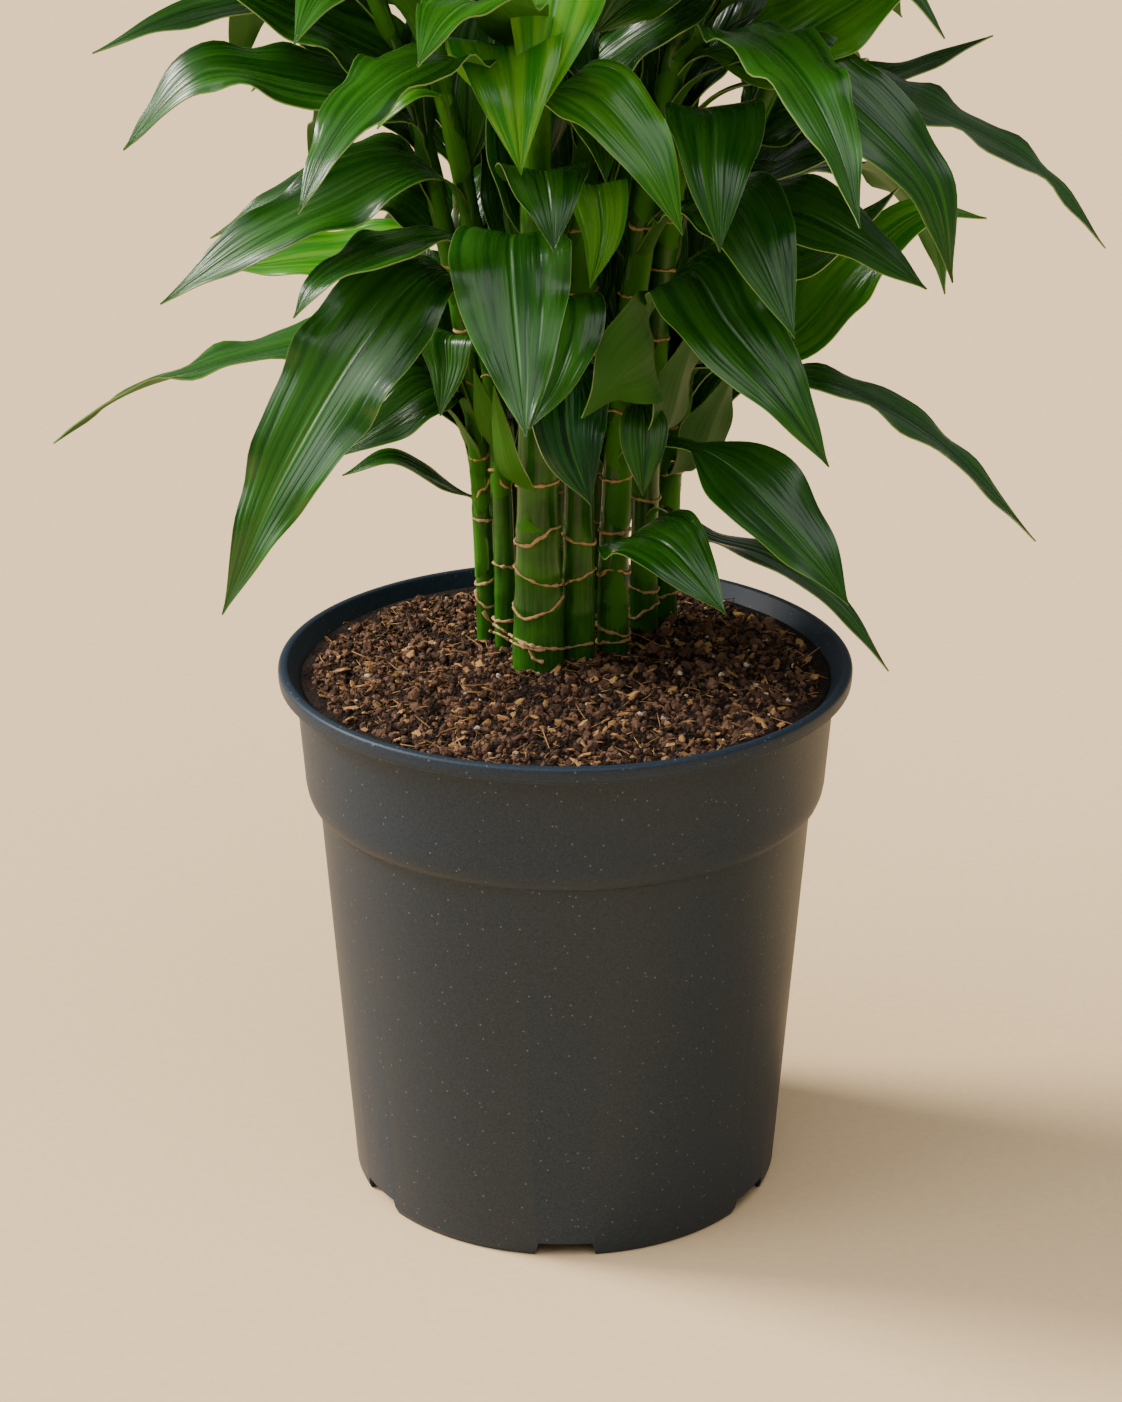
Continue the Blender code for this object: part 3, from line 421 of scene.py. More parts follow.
# %% The plan of the leaves that the photograph shows
Leaf = namedtuple("Leaf", "stem root seen width roll twist neck youth", defaults=(0, 0, 0.12, 0.15))
LEAVES = (
    # Left side, from the top down
    Leaf("stem_back_left", 0.480, ((330, -15, 0.050), (240, 3, 0.040), (165, 22, 0.034),
                                   (92, 53, 0.030)), 0.030, 18),
    Leaf("stem_left", 0.445, ((390, 62, 0.014), (340, 34, 0.012), (270, 2, 0.008),
                              (195, -30, 0.006)), 0.044, 30),
    Leaf("stem_left", 0.430, ((396, 106, 0.004), (300, 82, -0.006), (200, 72, -0.014),
                              (123, 150, -0.018)), 0.040, 24),
    Leaf("stem_left", 0.410, ((390, 152, 0.018), (300, 188, 0.014), (210, 238, 0.012)), 0.030, 14),
    Leaf("stem_front_left", 0.425, ((405, 168, -0.020), (335, 200, -0.032), (250, 243, -0.042),
                                    (160, 304, -0.048)), 0.036, 22),
    # Painted light: this lower leaf is lit through from behind, so its youth is set high to brighten its
    # green.
    Leaf("stem_back_left", 0.400, ((380, 250, 0.055), (310, 258, 0.060), (228, 269, 0.062)), 0.036, 24,
         youth=0.75),
    Leaf("stem_front_left", 0.405, ((430, 238, -0.022), (370, 256, -0.044), (318, 284, -0.058),
                                    (293, 318, -0.064)), 0.034, 2),
    Leaf("stem_front_left", 0.375, ((428, 272, -0.026), (365, 338, -0.052), (280, 482, -0.070),
                                    (222, 615, -0.076)), 0.046, 30),
    Leaf("stem_left", 0.335, ((432, 388, 0.010), (390, 416, 0.004), (337, 457, -0.002)), 0.032, 28),
    Leaf("stem_left", 0.360, ((400, 322, 0.012), (300, 344, 0.000), (190, 372, -0.008),
                              (120, 397, -0.012), (53, 443, -0.015)), 0.036, 6, -45),
    Leaf("stem_left", 0.292, ((455, 490, 0.022), (425, 473, 0.018), (388, 458, 0.012),
                              (342, 475, 0.008)), 0.017, 12),
    Leaf("stem_front_left", 0.355, ((450, 336, -0.022), (448, 370, -0.030), (440, 416, -0.036)), 0.028, 0),
    Leaf("stem_left", 0.400, ((398, 200, 0.026), (374, 205, 0.028), (347, 214, 0.030)), 0.028, 20),
    Leaf("stem_front_left", 0.465, ((412, 86, -0.014), (395, 98, -0.020), (377, 129, -0.024)), 0.018, 20,
         youth=0.8),
    Leaf("stem_left", 0.455, ((394, 76, 0.030), (378, 38, 0.030), (340, 0, 0.028)), 0.032, 30,
         youth=0.75),
    Leaf("stem_left", 0.432, ((392, 104, 0.030), (350, 68, 0.034), (300, 44, 0.036)), 0.026, 25),
    # Front
    Leaf("stem_front", 0.405, ((511, 238, -0.058), (513, 300, -0.082), (526, 437, -0.116)), 0.047),
    Leaf("stem_front", 0.385, ((560, 305, -0.044), (550, 370, -0.060), (529, 430, -0.070)), 0.036),
    Leaf("stem_front", 0.430, ((544, 172, -0.058), (550, 205, -0.074), (554, 252, -0.084)), 0.036),
    Leaf("stem_middle", 0.420, ((596, 186, -0.030), (602, 232, -0.042), (590, 288, -0.050)), 0.024,
         youth=0.8),
    Leaf("stem_front", 0.480, ((560, -50, -0.040), (560, -30, -0.062), (546, 50, -0.076),
                               (530, 128, -0.084)), 0.046, youth=0.95),
    Leaf("stem_front", 0.455, ((506, 60, -0.058), (508, 48, -0.072), (513, 95, -0.092),
                               (521, 175, -0.102)), 0.046, youth=0.9),
    Leaf("stem_front", 0.460, ((560, 88, -0.055), (600, 98, -0.072), (650, 160, -0.092),
                               (683, 235, -0.102)), 0.034, 20, youth=0.45),
    # Painted shade: this leaf lies in deep shadow, so its youth is 0 and its green is the darkest.
    Leaf("stem_front", 0.368, ((564, 376, -0.036), (569, 440, -0.050), (591, 505, -0.056)), 0.036,
         youth=0.0),
    Leaf("stem_middle", 0.520, ((655, -15, -0.030), (628, 2, -0.036), (594, 34, -0.040)), 0.030),
    # Right side, from the top down
    Leaf("stem_middle", 0.500, ((592, 66, -0.020), (640, 38, -0.022), (750, -35, -0.020)), 0.040, 30),
    Leaf("stem_front_right", 0.480, ((775, 48, -0.016), (830, 18, -0.020), (890, -20, -0.022),
                                     (950, -70, -0.020)), 0.044, 45, youth=0.65),
    Leaf("stem_right", 0.480, ((860, 78, 0.040), (930, 62, 0.044), (993, 35, 0.046)), 0.026, 10),
    Leaf("stem_front_right", 0.465, ((785, 52, -0.030), (850, 98, -0.046), (928, 185, -0.060),
                                     (953, 283, -0.066)), 0.034, 30, 0, 0.25),
    Leaf("stem_right", 0.455, ((865, 82, 0.016), (940, 116, 0.008), (1040, 172, 0.000),
                               (1106, 248, -0.005)), 0.036, 4, 0, 0.2),
    Leaf("stem_front_right", 0.418, ((750, 206, -0.020), (800, 212, -0.034), (860, 242, -0.044),
                                     (927, 289, -0.050)), 0.036, 28, 0, 0.2),
    Leaf("stem_front_right", 0.450, ((712, 112, -0.050), (715, 168, -0.080), (720, 252, -0.095)),
         0.038, 0, 0, 0.25),
    Leaf("stem_front_right", 0.408, ((730, 204, -0.045), (760, 250, -0.068), (795, 338, -0.088)), 0.042, 15),
    Leaf("stem_front_right", 0.362, ((690, 272, -0.035), (725, 322, -0.058), (782, 392, -0.078),
                                     (829, 467, -0.088)), 0.042, 25, 0, 0.18),
    # Painted light: this lower leaf is lit through from behind, so its youth is set high to brighten its
    # green.
    Leaf("stem_far_right", 0.330, ((795, 335, 0.070), (855, 268, 0.082), (920, 214, 0.088),
                                   (987, 218, 0.090)), 0.034, 30, youth=0.75),
    Leaf("stem_right", 0.372, ((800, 262, 0.034), (850, 232, 0.036), (899, 187, 0.038)), 0.026, 20,
         youth=0.4),
    Leaf("stem_right", 0.430, ((757, 180, 0.014), (800, 164, 0.006), (857, 145, 0.002)), 0.026, 20),
    Leaf("stem_far_right", 0.440, ((760, 140, 0.062), (800, 116, 0.066), (840, 120, 0.068)), 0.026, 20),
    Leaf("stem_right", 0.340, ((795, 376, 0.010), (860, 395, 0.002), (950, 452, -0.008),
                               (1036, 541, -0.014)), 0.030, 0, 0, 0.2),
    Leaf("stem_front_right", 0.318, ((702, 450, -0.025), (750, 484, -0.042), (812, 552, -0.058),
                                     (849, 605, -0.066)), 0.038, 24, 0, 0.32),
    Leaf("stem_right", 0.285, ((707, 538, -0.002), (770, 558, -0.022), (840, 608, -0.036),
                               (889, 671, -0.044)), 0.024, -8),
    Leaf("stem_front_right", 0.272, ((640, 535, -0.022), (675, 552, -0.044), (726, 614, -0.064)), 0.038, 20),
    Leaf("stem_right", 0.450, ((690, 100, 0.020), (722, 56, 0.022), (775, 0, 0.024)), 0.028, 30),
    # Among the canes
    Leaf("stem_front_right", 0.375, ((652, 343, -0.026), (618, 376, -0.044), (581, 418, -0.052)),
         0.046, -100),
    Leaf("stem_front_right", 0.322, ((664, 430, -0.006), (682, 372, -0.010), (702, 308, -0.012)), 0.032, 0,
         youth=0.05),
    Leaf("stem_far_right", 0.300, ((694, 468, 0.034), (714, 415, 0.032), (738, 362, 0.030)), 0.032, 0,
         youth=0.05),
    Leaf("stem_front_right", 0.345, ((642, 410, -0.014), (643, 450, -0.024), (643, 496, -0.030)),
         0.020, 0, 0, 0.25),
)
SHOOTS = (
    # Small leaves that stand in a fork on top of the front canes' scars
    Leaf("stem_left", 0.302, ((466, 436, 0.020), (452, 414, 0.014), (438, 398, 0.010)), 0.011, 10, youth=0.4),
    Leaf("stem_left", 0.310, ((471, 424, 0.022), (463, 396, 0.020), (456, 366, 0.018)), 0.011, 0, youth=0.4),
    Leaf("stem_front_left", 0.312, ((490, 430, 0.004), (482, 400, 0.000), (474, 368, -0.002)), 0.012, 0,
         youth=0.35),
    Leaf("stem_front", 0.300, ((510, 470, -0.026), (501, 430, -0.030), (494, 385, -0.034)), 0.013, 0,
         youth=0.4),
    # Upright ones in the dark behind the canes, which close the gaps between them
    Leaf("stem_back", 0.246, ((614, 560, 0.050), (627, 510, 0.050), (632, 440, 0.050)), 0.014, 0, youth=0.1),
    Leaf("stem_back_left", 0.258, ((512, 530, 0.044), (517, 480, 0.043), (520, 420, 0.043)), 0.012, 0,
         youth=0.1),
)
SHOOT_SHEATH = 0.008  # a small leaf clasps the cane only with a short sheath
FIRST_SHOOT_SEED = 60
print(len(LEAVES), "leaves and", len(SHOOTS), "shoots read from the photograph")

# %% [markdown]
# ## Where each leaf runs
#
# A leaf is a sheath that clasps the cane, a narrow neck, and a blade. Its midrib is one
# smooth line: up the cane's skin as far as the leaf's root, then out through the plan's
# points. The crown's leaves were turned aside where two stems would have crossed. Which
# turn each one took isn't guessed here: every turn of the rule is tried, and the one whose
# tip the frame's own mesh holds is kept.

# %% The axis of a cane
def stem_point(stem, height):
    """The middle of the cane at a height: plumb in the soil, then leaning to its top."""
    foot = Vector((*stem.foot, height))
    if height <= STRAIGHT_TOP:
        return foot
    share = (height - STRAIGHT_TOP) / (stem.top[2] - STRAIGHT_TOP)
    lean = Vector((stem.top[0] - stem.foot[0], stem.top[1] - stem.foot[1], 0.0))
    return foot + lean * share ** LEAN_POWER


def stem_radius(stem, height):
    share = max(0.0, (height - STRAIGHT_TOP) / (stem.top[2] - STRAIGHT_TOP))
    return stem.foot_radius + (stem.top_radius - stem.foot_radius) * min(1.0, share) ** 0.6


print("the front cane at 0.4 m:", stem_point(STEMS["stem_front"], 0.4))

# %% Smooth lines
SPINE_STEPS = 28
LINE_STEPS = 12


def smooth_line(points):
    """A fine smooth line through the points, with LINE_STEPS between each two."""
    ends = [points[0] * 2 - points[1], *points, points[-1] * 2 - points[-2]]
    fine = [points[0]]
    for before, start, end, after in zip(ends, ends[1:], ends[2:], ends[3:]):
        for step in range(1, LINE_STEPS + 1):
            t = step / LINE_STEPS
            fine.append(0.5 * (
                2 * start + (end - before) * t
                + (2 * before - 5 * start + 4 * end - after) * t ** 2
                + (3 * start - before - 3 * end + after) * t ** 3
            ))
    return fine


def even_points(line, steps):
    """steps + 1 points, evenly spaced along a line."""
    lengths = [0.0]
    for start, end in zip(line, line[1:]):
        lengths.append(lengths[-1] + (end - start).length)
    points = []
    here = 0
    for step in range(steps + 1):
        wanted = lengths[-1] * step / steps
        while here < len(line) - 2 and lengths[here + 1] < wanted:
            here += 1
        share = (wanted - lengths[here]) / (lengths[here + 1] - lengths[here])
        points.append(line[here].lerp(line[here + 1], min(1.0, share)))
    return points


def arching_spine(root, heading, rise, droop, length):
    """A line that leaves root at an angle of rise and bends over by droop in all."""
    ahead = Vector((math.cos(heading), math.sin(heading), 0.0))
    points = [root.copy()]
    for step in range(SPINE_STEPS):
        pitch = rise - droop * ((step + 0.5) / SPINE_STEPS) ** 1.2
        points.append(points[-1] + (ahead * math.cos(pitch) + UP * math.sin(pitch)) * length / SPINE_STEPS)
    return points


print("an arching line ends at", arching_spine(Vector(), 0.0, math.pi / 3, math.pi / 2, 1.0)[-1])

# %% Leaves of the photograph and of the crown
GOLDEN_TURN = math.radians(137.5)
CROWN_NECK = 0.12
SHEATH = 0.026
CROWN_SHEATH = 0.016

Blade = namedtuple("Blade", "stem root out points sheath width roll twist neck youth seed")


def seen_blade(leaf, seed):
    stem = STEMS[leaf.stem]
    root = stem_point(stem, leaf.root)
    points = [seen_point(*point) for point in leaf.seen]
    away = points[0] - root
    leaving = root + away * 0.35 + UP * 0.10 * away.length
    out = Vector((away.x, away.y, 0.0)).normalized()
    return Blade(leaf.stem, leaf.root, out, [leaving, *points], SHEATH, leaf.width, leaf.roll, leaf.twist,
                 leaf.neck, leaf.youth, seed)


def crown_blade(stem, count, turn_aside, lift):
    """One of the crown's leaves and its plain spine: golden turns, steeper to the top."""
    draw = random.Random(f"{stem.name} {count}")
    share = (count + 0.5) / stem.count
    height = stem.leafy_from + (stem.top[2] - 0.006 - stem.leafy_from) * share
    swing = (count * GOLDEN_TURN / (2 * math.pi) + draw.uniform(0.0, 0.1)) % 1.0 * 2.0 - 1.0
    heading = math.radians(stem.fan + stem.spread * swing + turn_aside)
    rise = math.radians(38.0 + 40.0 * share ** 1.5 + draw.uniform(-5.0, 5.0) + lift)
    droop = math.radians(100.0 - 70.0 * share + draw.uniform(-10.0, 10.0))
    length = (0.180 - 0.050 * share ** 2) * draw.uniform(0.92, 1.06)
    width = (0.042 - 0.012 * share) * draw.uniform(0.94, 1.06)
    spine = arching_spine(stem_point(stem, height), heading, rise, droop, length)
    out = Vector((math.cos(heading), math.sin(heading), 0.0))
    youth = 0.15 + 0.55 * share ** 2
    blade = Blade(stem.name, height, out, spine[4::4], CROWN_SHEATH, width, 0, 0, CROWN_NECK, youth, count)
    return blade, spine[-1]


print("the big left leaf is rooted at", seen_blade(LEAVES[7], 7).root, "m")

# %% Find the crown's leaves in the frame
CROWN_TRIES = [(lift, turn) for lift in (0, 9, -9, 18, 27) for turn in (0, 14, -14, 28, -28, 42, -42)]
TIP_MATCH = 0.0001  # how near a corner of the frame counts as the tip


def node_corners(name):
    """Search tree of the corners of a node's mesh."""
    corners = frame["nodes"][name].data.vertices
    search = KDTree(len(corners))
    for number, corner in enumerate(corners):
        search.insert(corner.co, number)
    search.balance()
    return search


blades = {name: [] for name in STEMS}
for number, leaf in enumerate(LEAVES):
    blades[leaf.stem].append(seen_blade(leaf, number))
for number, leaf in enumerate(SHOOTS):
    blades[leaf.stem].append(seen_blade(leaf, FIRST_SHOOT_SEED + number)._replace(sheath=SHOOT_SHEATH))
for stem in STEMS.values():
    corners = node_corners(stem.name)
    for count in range(stem.count):
        for lift, turn_aside in CROWN_TRIES:
            blade, tip = crown_blade(stem, count, turn_aside, lift)
            if corners.find(tip)[2] < TIP_MATCH:
                blades[stem.name].append(blade)
                break
print("leaves:", {name: len(found) for name, found in blades.items()}, "in all",
      sum(len(found) for found in blades.values()))

# %% [markdown]
# ## The leaf's surface
#
# A corn plant's leaf is glossy: a wax skin lies over dark green tissue, and it mirrors the
# sky in long silvery streaks because the veins run side by side from neck to tip and ripple
# the skin. The pattern must follow the leaf, so it reads the leaf's own UV map, where U runs
# across the blade and V along it. Three more values are painted on the mesh: how young the
# leaf is, which on a few leaves also holds painted light shining through and painted shade, a
# number drawn for each leaf, and how near a place is to the sheath. The lower face has no
# thick wax, so it is a material of its own, paler and dull. Veins on a real leaf lie about
# 1 mm apart, and are drawn at 1.3 mm.

# %% Veins and ripples
VEIN_SPACING = 0.0013
RIPPLE_SPACING = 0.0036
LEAF_WIDTH = 0.038
VEIN_CHANGES = 2.5  # how often a vein's tone changes along a leaf
RIPPLE_HEIGHT = 0.0008

leaf_skin, tree, shader = new_material("waxy_leaf", 0.26, 0.5)
across_along = add_node(tree, "ShaderNodeUVMap", uv_map="blade")
split = add_node(tree, "ShaderNodeSeparateXYZ", {0: across_along.outputs["UV"]})
paint = add_node(tree, "ShaderNodeAttribute", attribute_name="leaf_paint")
shares = add_node(tree, "ShaderNodeSeparateColor", {0: paint.outputs["Color"]})
# Red is the leaf's youth; on a few leaves it holds painted backlight and painted deep shade.
youth, chance = shares.outputs["Red"], shares.outputs["Blue"]
sheathed = paint.outputs["Alpha"]
veins_at = add_node(tree, "ShaderNodeCombineXYZ", {
    "X": add_node(tree, "ShaderNodeMath", {0: split.outputs["X"], 1: LEAF_WIDTH / VEIN_SPACING},
                  operation="MULTIPLY").outputs[0],
    "Y": add_node(tree, "ShaderNodeMath", {0: split.outputs["Y"], 1: VEIN_CHANGES},
                  operation="MULTIPLY").outputs[0],
    "Z": add_node(tree, "ShaderNodeMath", {0: chance, 1: 50.0}, operation="MULTIPLY").outputs[0]})
veins = add_node(tree, "ShaderNodeTexNoise", {"Vector": veins_at.outputs[0], "Scale": 1.0, "Detail": 1.0})
ripples_at = add_node(tree, "ShaderNodeVectorMath",
                      {0: veins_at.outputs[0], 1: (VEIN_SPACING / RIPPLE_SPACING, 0.8, 1.0)},
                      operation="MULTIPLY")
ripples = add_node(tree, "ShaderNodeTexNoise", {"Vector": ripples_at.outputs[0], "Scale": 1.0, "Detail": 2.0})
middle = add_node(tree, "ShaderNodeMath", {0: split.outputs["X"], 1: 0.5}, operation="SUBTRACT")
from_rib = add_node(tree, "ShaderNodeMath", {0: middle.outputs[0]}, operation="ABSOLUTE")
rib = add_node(tree, "ShaderNodeMapRange", {"Value": from_rib.outputs[0], "From Min": 0.006,
                                            "From Max": 0.030, "To Min": 1.0, "To Max": 0.0})
edge = add_node(tree, "ShaderNodeMapRange", {"Value": from_rib.outputs[0], "From Min": 0.492,
                                             "From Max": 0.4995, "To Min": 0.0, "To Max": 0.7})
print("veins across a blade:", round(LEAF_WIDTH / VEIN_SPACING))

# %% Colour the leaf
green = add_node(tree, "ShaderNodeMix", {0: youth, 6: linear("#10500F"), 7: linear("#6BB01A")},
                 data_type="RGBA")
deep = add_node(tree, "ShaderNodeMix", {0: youth, 6: linear("#042204"), 7: linear("#2C8A0C")},
                data_type="RGBA")
streaked = add_node(tree, "ShaderNodeMix", {
    0: add_node(tree, "ShaderNodeMapRange", {"Value": ripples.outputs["Fac"], "From Min": 0.35,
                                             "From Max": 0.65}).outputs[0],
    6: deep.outputs[2], 7: green.outputs[2]}, data_type="RGBA")
veined = add_node(tree, "ShaderNodeMix", {
    0: add_node(tree, "ShaderNodeMapRange", {"Value": veins.outputs["Fac"], "From Min": 0.5, "From Max": 0.8,
                                             "To Max": 0.15}).outputs[0],
    6: streaked.outputs[2], 7: linear("#2A6E1C")}, data_type="RGBA")
ribbed = add_node(tree, "ShaderNodeMix", {
    0: add_node(tree, "ShaderNodeMath", {0: rib.outputs[0], 1: 0.40}, operation="MULTIPLY").outputs[0],
    6: veined.outputs[2], 7: linear("#3E7E22")}, data_type="RGBA")
edged = add_node(tree, "ShaderNodeMix", {0: edge.outputs[0], 6: ribbed.outputs[2], 7: linear("#86A85E")},
                 data_type="RGBA")
clasped = add_node(tree, "ShaderNodeMix", {
    0: add_node(tree, "ShaderNodeMath", {0: sheathed, 1: 0.7}, operation="MULTIPLY").outputs[0],
    6: edged.outputs[2], 7: linear("#3A7A14")}, data_type="RGBA")
tree.links.new(clasped.outputs[2], shader.inputs["Base Color"])
print("leaf colours:", len(tree.nodes), "nodes so far")

# %% Gloss and relief
patchy = add_node(tree, "ShaderNodeMapRange", {"Value": ripples.outputs["Fac"], "To Min": 0.20,
                                               "To Max": 0.34})
tree.links.new(patchy.outputs[0], shader.inputs["Roughness"])
relief = add_node(tree, "ShaderNodeMath", {
    0: ripples.outputs["Fac"],
    1: add_node(tree, "ShaderNodeMath", {0: veins.outputs["Fac"], 1: 0.16}, operation="MULTIPLY").outputs[0]},
    operation="ADD")
grooved = add_node(tree, "ShaderNodeMath", {
    0: relief.outputs[0],
    1: add_node(tree, "ShaderNodeMath", {0: rib.outputs[0], 1: 0.5}, operation="MULTIPLY").outputs[0]},
    operation="SUBTRACT")
bump = add_node(tree, "ShaderNodeBump", {"Height": grooved.outputs[0], "Strength": 1.0,
                                         "Distance": RIPPLE_HEIGHT})
tree.links.new(bump.outputs["Normal"], shader.inputs["Normal"])
shader.inputs["Subsurface Weight"].default_value = 0.08
shader.inputs["Subsurface Radius"].default_value = (0.4, 1.0, 0.2)
shader.inputs["Subsurface Scale"].default_value = 0.002
print("waxy leaf:", len(tree.nodes), "nodes")

# %% The dull lower face
leaf_back, tree, shader = new_material("leaf_underside", 0.62, 0.2)
across_along = add_node(tree, "ShaderNodeUVMap", uv_map="blade")
paint = add_node(tree, "ShaderNodeAttribute", attribute_name="leaf_paint")
shares = add_node(tree, "ShaderNodeSeparateColor", {0: paint.outputs["Color"]})
drawn_out = add_node(tree, "ShaderNodeMapping", {"Vector": across_along.outputs["UV"],
                                                 "Scale": (LEAF_WIDTH / VEIN_SPACING, VEIN_CHANGES, 1.0)})
veins = add_node(tree, "ShaderNodeTexNoise", {"Vector": drawn_out.outputs[0], "Scale": 1.0, "Detail": 1.0})
# Red is the youth again, with the same painted light and painted shade on a few leaves.
pale = add_node(tree, "ShaderNodeMix", {0: shares.outputs["Red"], 6: linear("#1F5A1A"), 7: linear("#66AC2C")},
                data_type="RGBA")
dark = add_node(tree, "ShaderNodeMix", {0: shares.outputs["Red"], 6: linear("#0F3C10"), 7: linear("#468A1C")},
                data_type="RGBA")
veined = add_node(tree, "ShaderNodeMix", {0: veins.outputs["Fac"], 6: dark.outputs[2], 7: pale.outputs[2]},
                  data_type="RGBA")
clasped = add_node(tree, "ShaderNodeMix", {
    0: add_node(tree, "ShaderNodeMath", {0: paint.outputs["Alpha"], 1: 0.8}, operation="MULTIPLY").outputs[0],
    6: veined.outputs[2], 7: linear("#3C8012")}, data_type="RGBA")
tree.links.new(clasped.outputs[2], shader.inputs["Base Color"])
bump = add_node(tree, "ShaderNodeBump", {"Height": veins.outputs["Fac"], "Strength": 0.5, "Distance": 0.0004})
tree.links.new(bump.outputs["Normal"], shader.inputs["Normal"])
print("lower face:", len(tree.nodes), "nodes")

# %% [markdown]
# ## The leaves' form
#
# Across, a blade is a gull's wing: it dips at the midrib, rises, and turns over a little at
# the margins. Near the cane the same strip is curled round it as a sheath. One formula
# covers both: half the strip's width is bent to an arc, through a wide angle at the sheath
# and a small one in the blade. The margins are longer than the midrib, so they ruffle, and
# two waves of unlike length, drawn for each leaf, do that. Each leaf is a thin closed
# solid, because real leaves have two faces, and the lower one is paler.

# %% The outline of a blade
NECK = 0.17
WIDEST = 0.36
TIP_POWER = 1.15
FULLNESS = 1.8


def blade_share(along, neck):
    """Half width of a blade at a share of its length, as a share of its widest."""
    if along <= neck:
        return NECK
    reach = (along - neck) / (1.0 - neck)
    if reach < WIDEST:
        return NECK + (1.0 - NECK) * math.sin(math.pi / 2 * reach / WIDEST)
    return (1.0 - ((reach - WIDEST) / (1.0 - WIDEST)) ** FULLNESS) ** TIP_POWER


def ease(low, high, value):
    """0 at low and 1 at high, with a smooth change between them."""
    share = min(1.0, max(0.0, (value - low) / (high - low)))
    return share * share * (3.0 - 2.0 * share)


print("half width halfway along:", round(blade_share(0.5, 0.2), 2), "of the widest")

# %% Rows across a leaf
COLUMNS = 10
TRIAL_COLUMNS = 4
SHEATH_ROWS = 5
BLADE_ROWS = 46
CLASP = math.radians(105.0)
RUFFLE = 0.0030
RUFFLE_LENGTH = 0.038
FULL_WIDTH = 0.046  # a narrower leaf ruffles less
SHEATH_DIP = 0.0045  # how far the sheath's lower edge hangs down in its middle
SKIN_GAP = 0.0004  # air between the sheath and the cane
TOP_FLARE = 0.06  # the sheath stands off this much more at its top
TIP_HALF = 0.00025
LEAF_THICKNESS = 0.0006
BLADE_BEND = 0.10
WING_RISE = 0.24
WING_TURN = 0.16


def midrib(blade):
    """Points up the cane's skin and out along the blade, and how far along the blade each is."""
    stem = STEMS[blade.stem]
    skin = stem_radius(stem, blade.root) + SKIN_GAP
    clasp = []
    for back in (1.0, 0.5, 0.0):
        axis = stem_point(stem, blade.root - blade.sheath * back)
        clasp.append(axis + blade.out * skin * (1.0 + TOP_FLARE * (1.0 - back)))
    fine = smooth_line([*clasp, *blade.points])
    root = (len(clasp) - 1) * LINE_STEPS
    low = even_points(fine[:root + 1], SHEATH_ROWS)
    high = even_points(fine[root:], BLADE_ROWS)
    alongs = [step / SHEATH_ROWS - 1.0 for step in range(SHEATH_ROWS)]
    alongs += [step / BLADE_ROWS for step in range(BLADE_ROWS + 1)]
    return low[:-1] + high, alongs


def leaf_rows(blade, columns=COLUMNS):
    """For each row up the leaf: its points from edge to edge, its normal and its share."""
    stem = STEMS[blade.stem]
    draw = random.Random(f"ruffle {blade.stem} {blade.seed} {blade.root}")
    phases = [draw.uniform(0.0, 2 * math.pi) for _ in range(4)]
    stretch = draw.uniform(0.85, 1.2)
    slimness = min(1.0, blade.width / FULL_WIDTH) ** 1.5
    spine, alongs = midrib(blade)
    heading = spine[-1] - stem_point(stem, blade.root)
    heading.z = 0.0
    level = heading.normalized().cross(UP)
    clasp_level = blade.out.cross(UP)
    side = 1.0 if heading.x > 0 else -1.0
    clasp_half = (stem_radius(stem, blade.root) + LEAF_THICKNESS) * CLASP
    walked = 0.0
    rows = []
    for number, (point, along) in enumerate(zip(spine, alongs)):
        ahead = (spine[min(number + 1, len(spine) - 1)] - spine[max(number - 1, 0)]).normalized()
        lie = clasp_level.lerp(level, ease(-0.1, 0.25, along)).normalized()
        across = (lie - ahead * lie.dot(ahead)).normalized()
        turned = blade.roll * min(1.0, 3.0 * max(0.0, along)) + blade.twist * max(0.0, along) ** 3
        across.rotate(Matrix.Rotation(side * math.radians(turned), 3, ahead))
        normal = across.cross(ahead)
        opened = ease(-0.55, blade.neck, along)
        half = clasp_half + (blade.width / 2 * blade_share(along, blade.neck) - clasp_half) * opened
        half = max(half, TIP_HALF)
        bend = CLASP + (BLADE_BEND - CLASP) * ease(-0.30, blade.neck + 0.10, along)
        wing = ease(0.0, 0.3, along)
        fullness = half / (blade.width / 2)
        if number:
            walked += (point - spine[number - 1]).length
        wave = 2 * math.pi * walked / (RUFFLE_LENGTH * stretch)
        points = []
        for column in range(columns + 1):
            s = 2.0 * column / columns - 1.0
            hand = 0 if s < 0 else 2
            ruffle = math.sin(wave + phases[hand]) + 0.4 * math.sin(wave * 1.7 + phases[hand + 1])
            lift = half * bend / 2 * s * s if bend < 0.2 else half / bend * (1.0 - math.cos(bend * s))
            spread = half * s if bend < 0.2 else half / bend * math.sin(bend * s)
            lift += wing * half * (WING_RISE * abs(s) - WING_TURN * s * s)
            lift += wing * RUFFLE * slimness * fullness * ruffle * abs(s) ** 2.2
            dip = ahead * SHEATH_DIP * (1.0 - s * s) * ease(-0.6, -1.0, along)
            points.append(point + across * spread + normal * lift - dip)
        rows.append((points, normal, along))
    return rows


print("rows up a leaf:", len(leaf_rows(blades["stem_front"][0])))

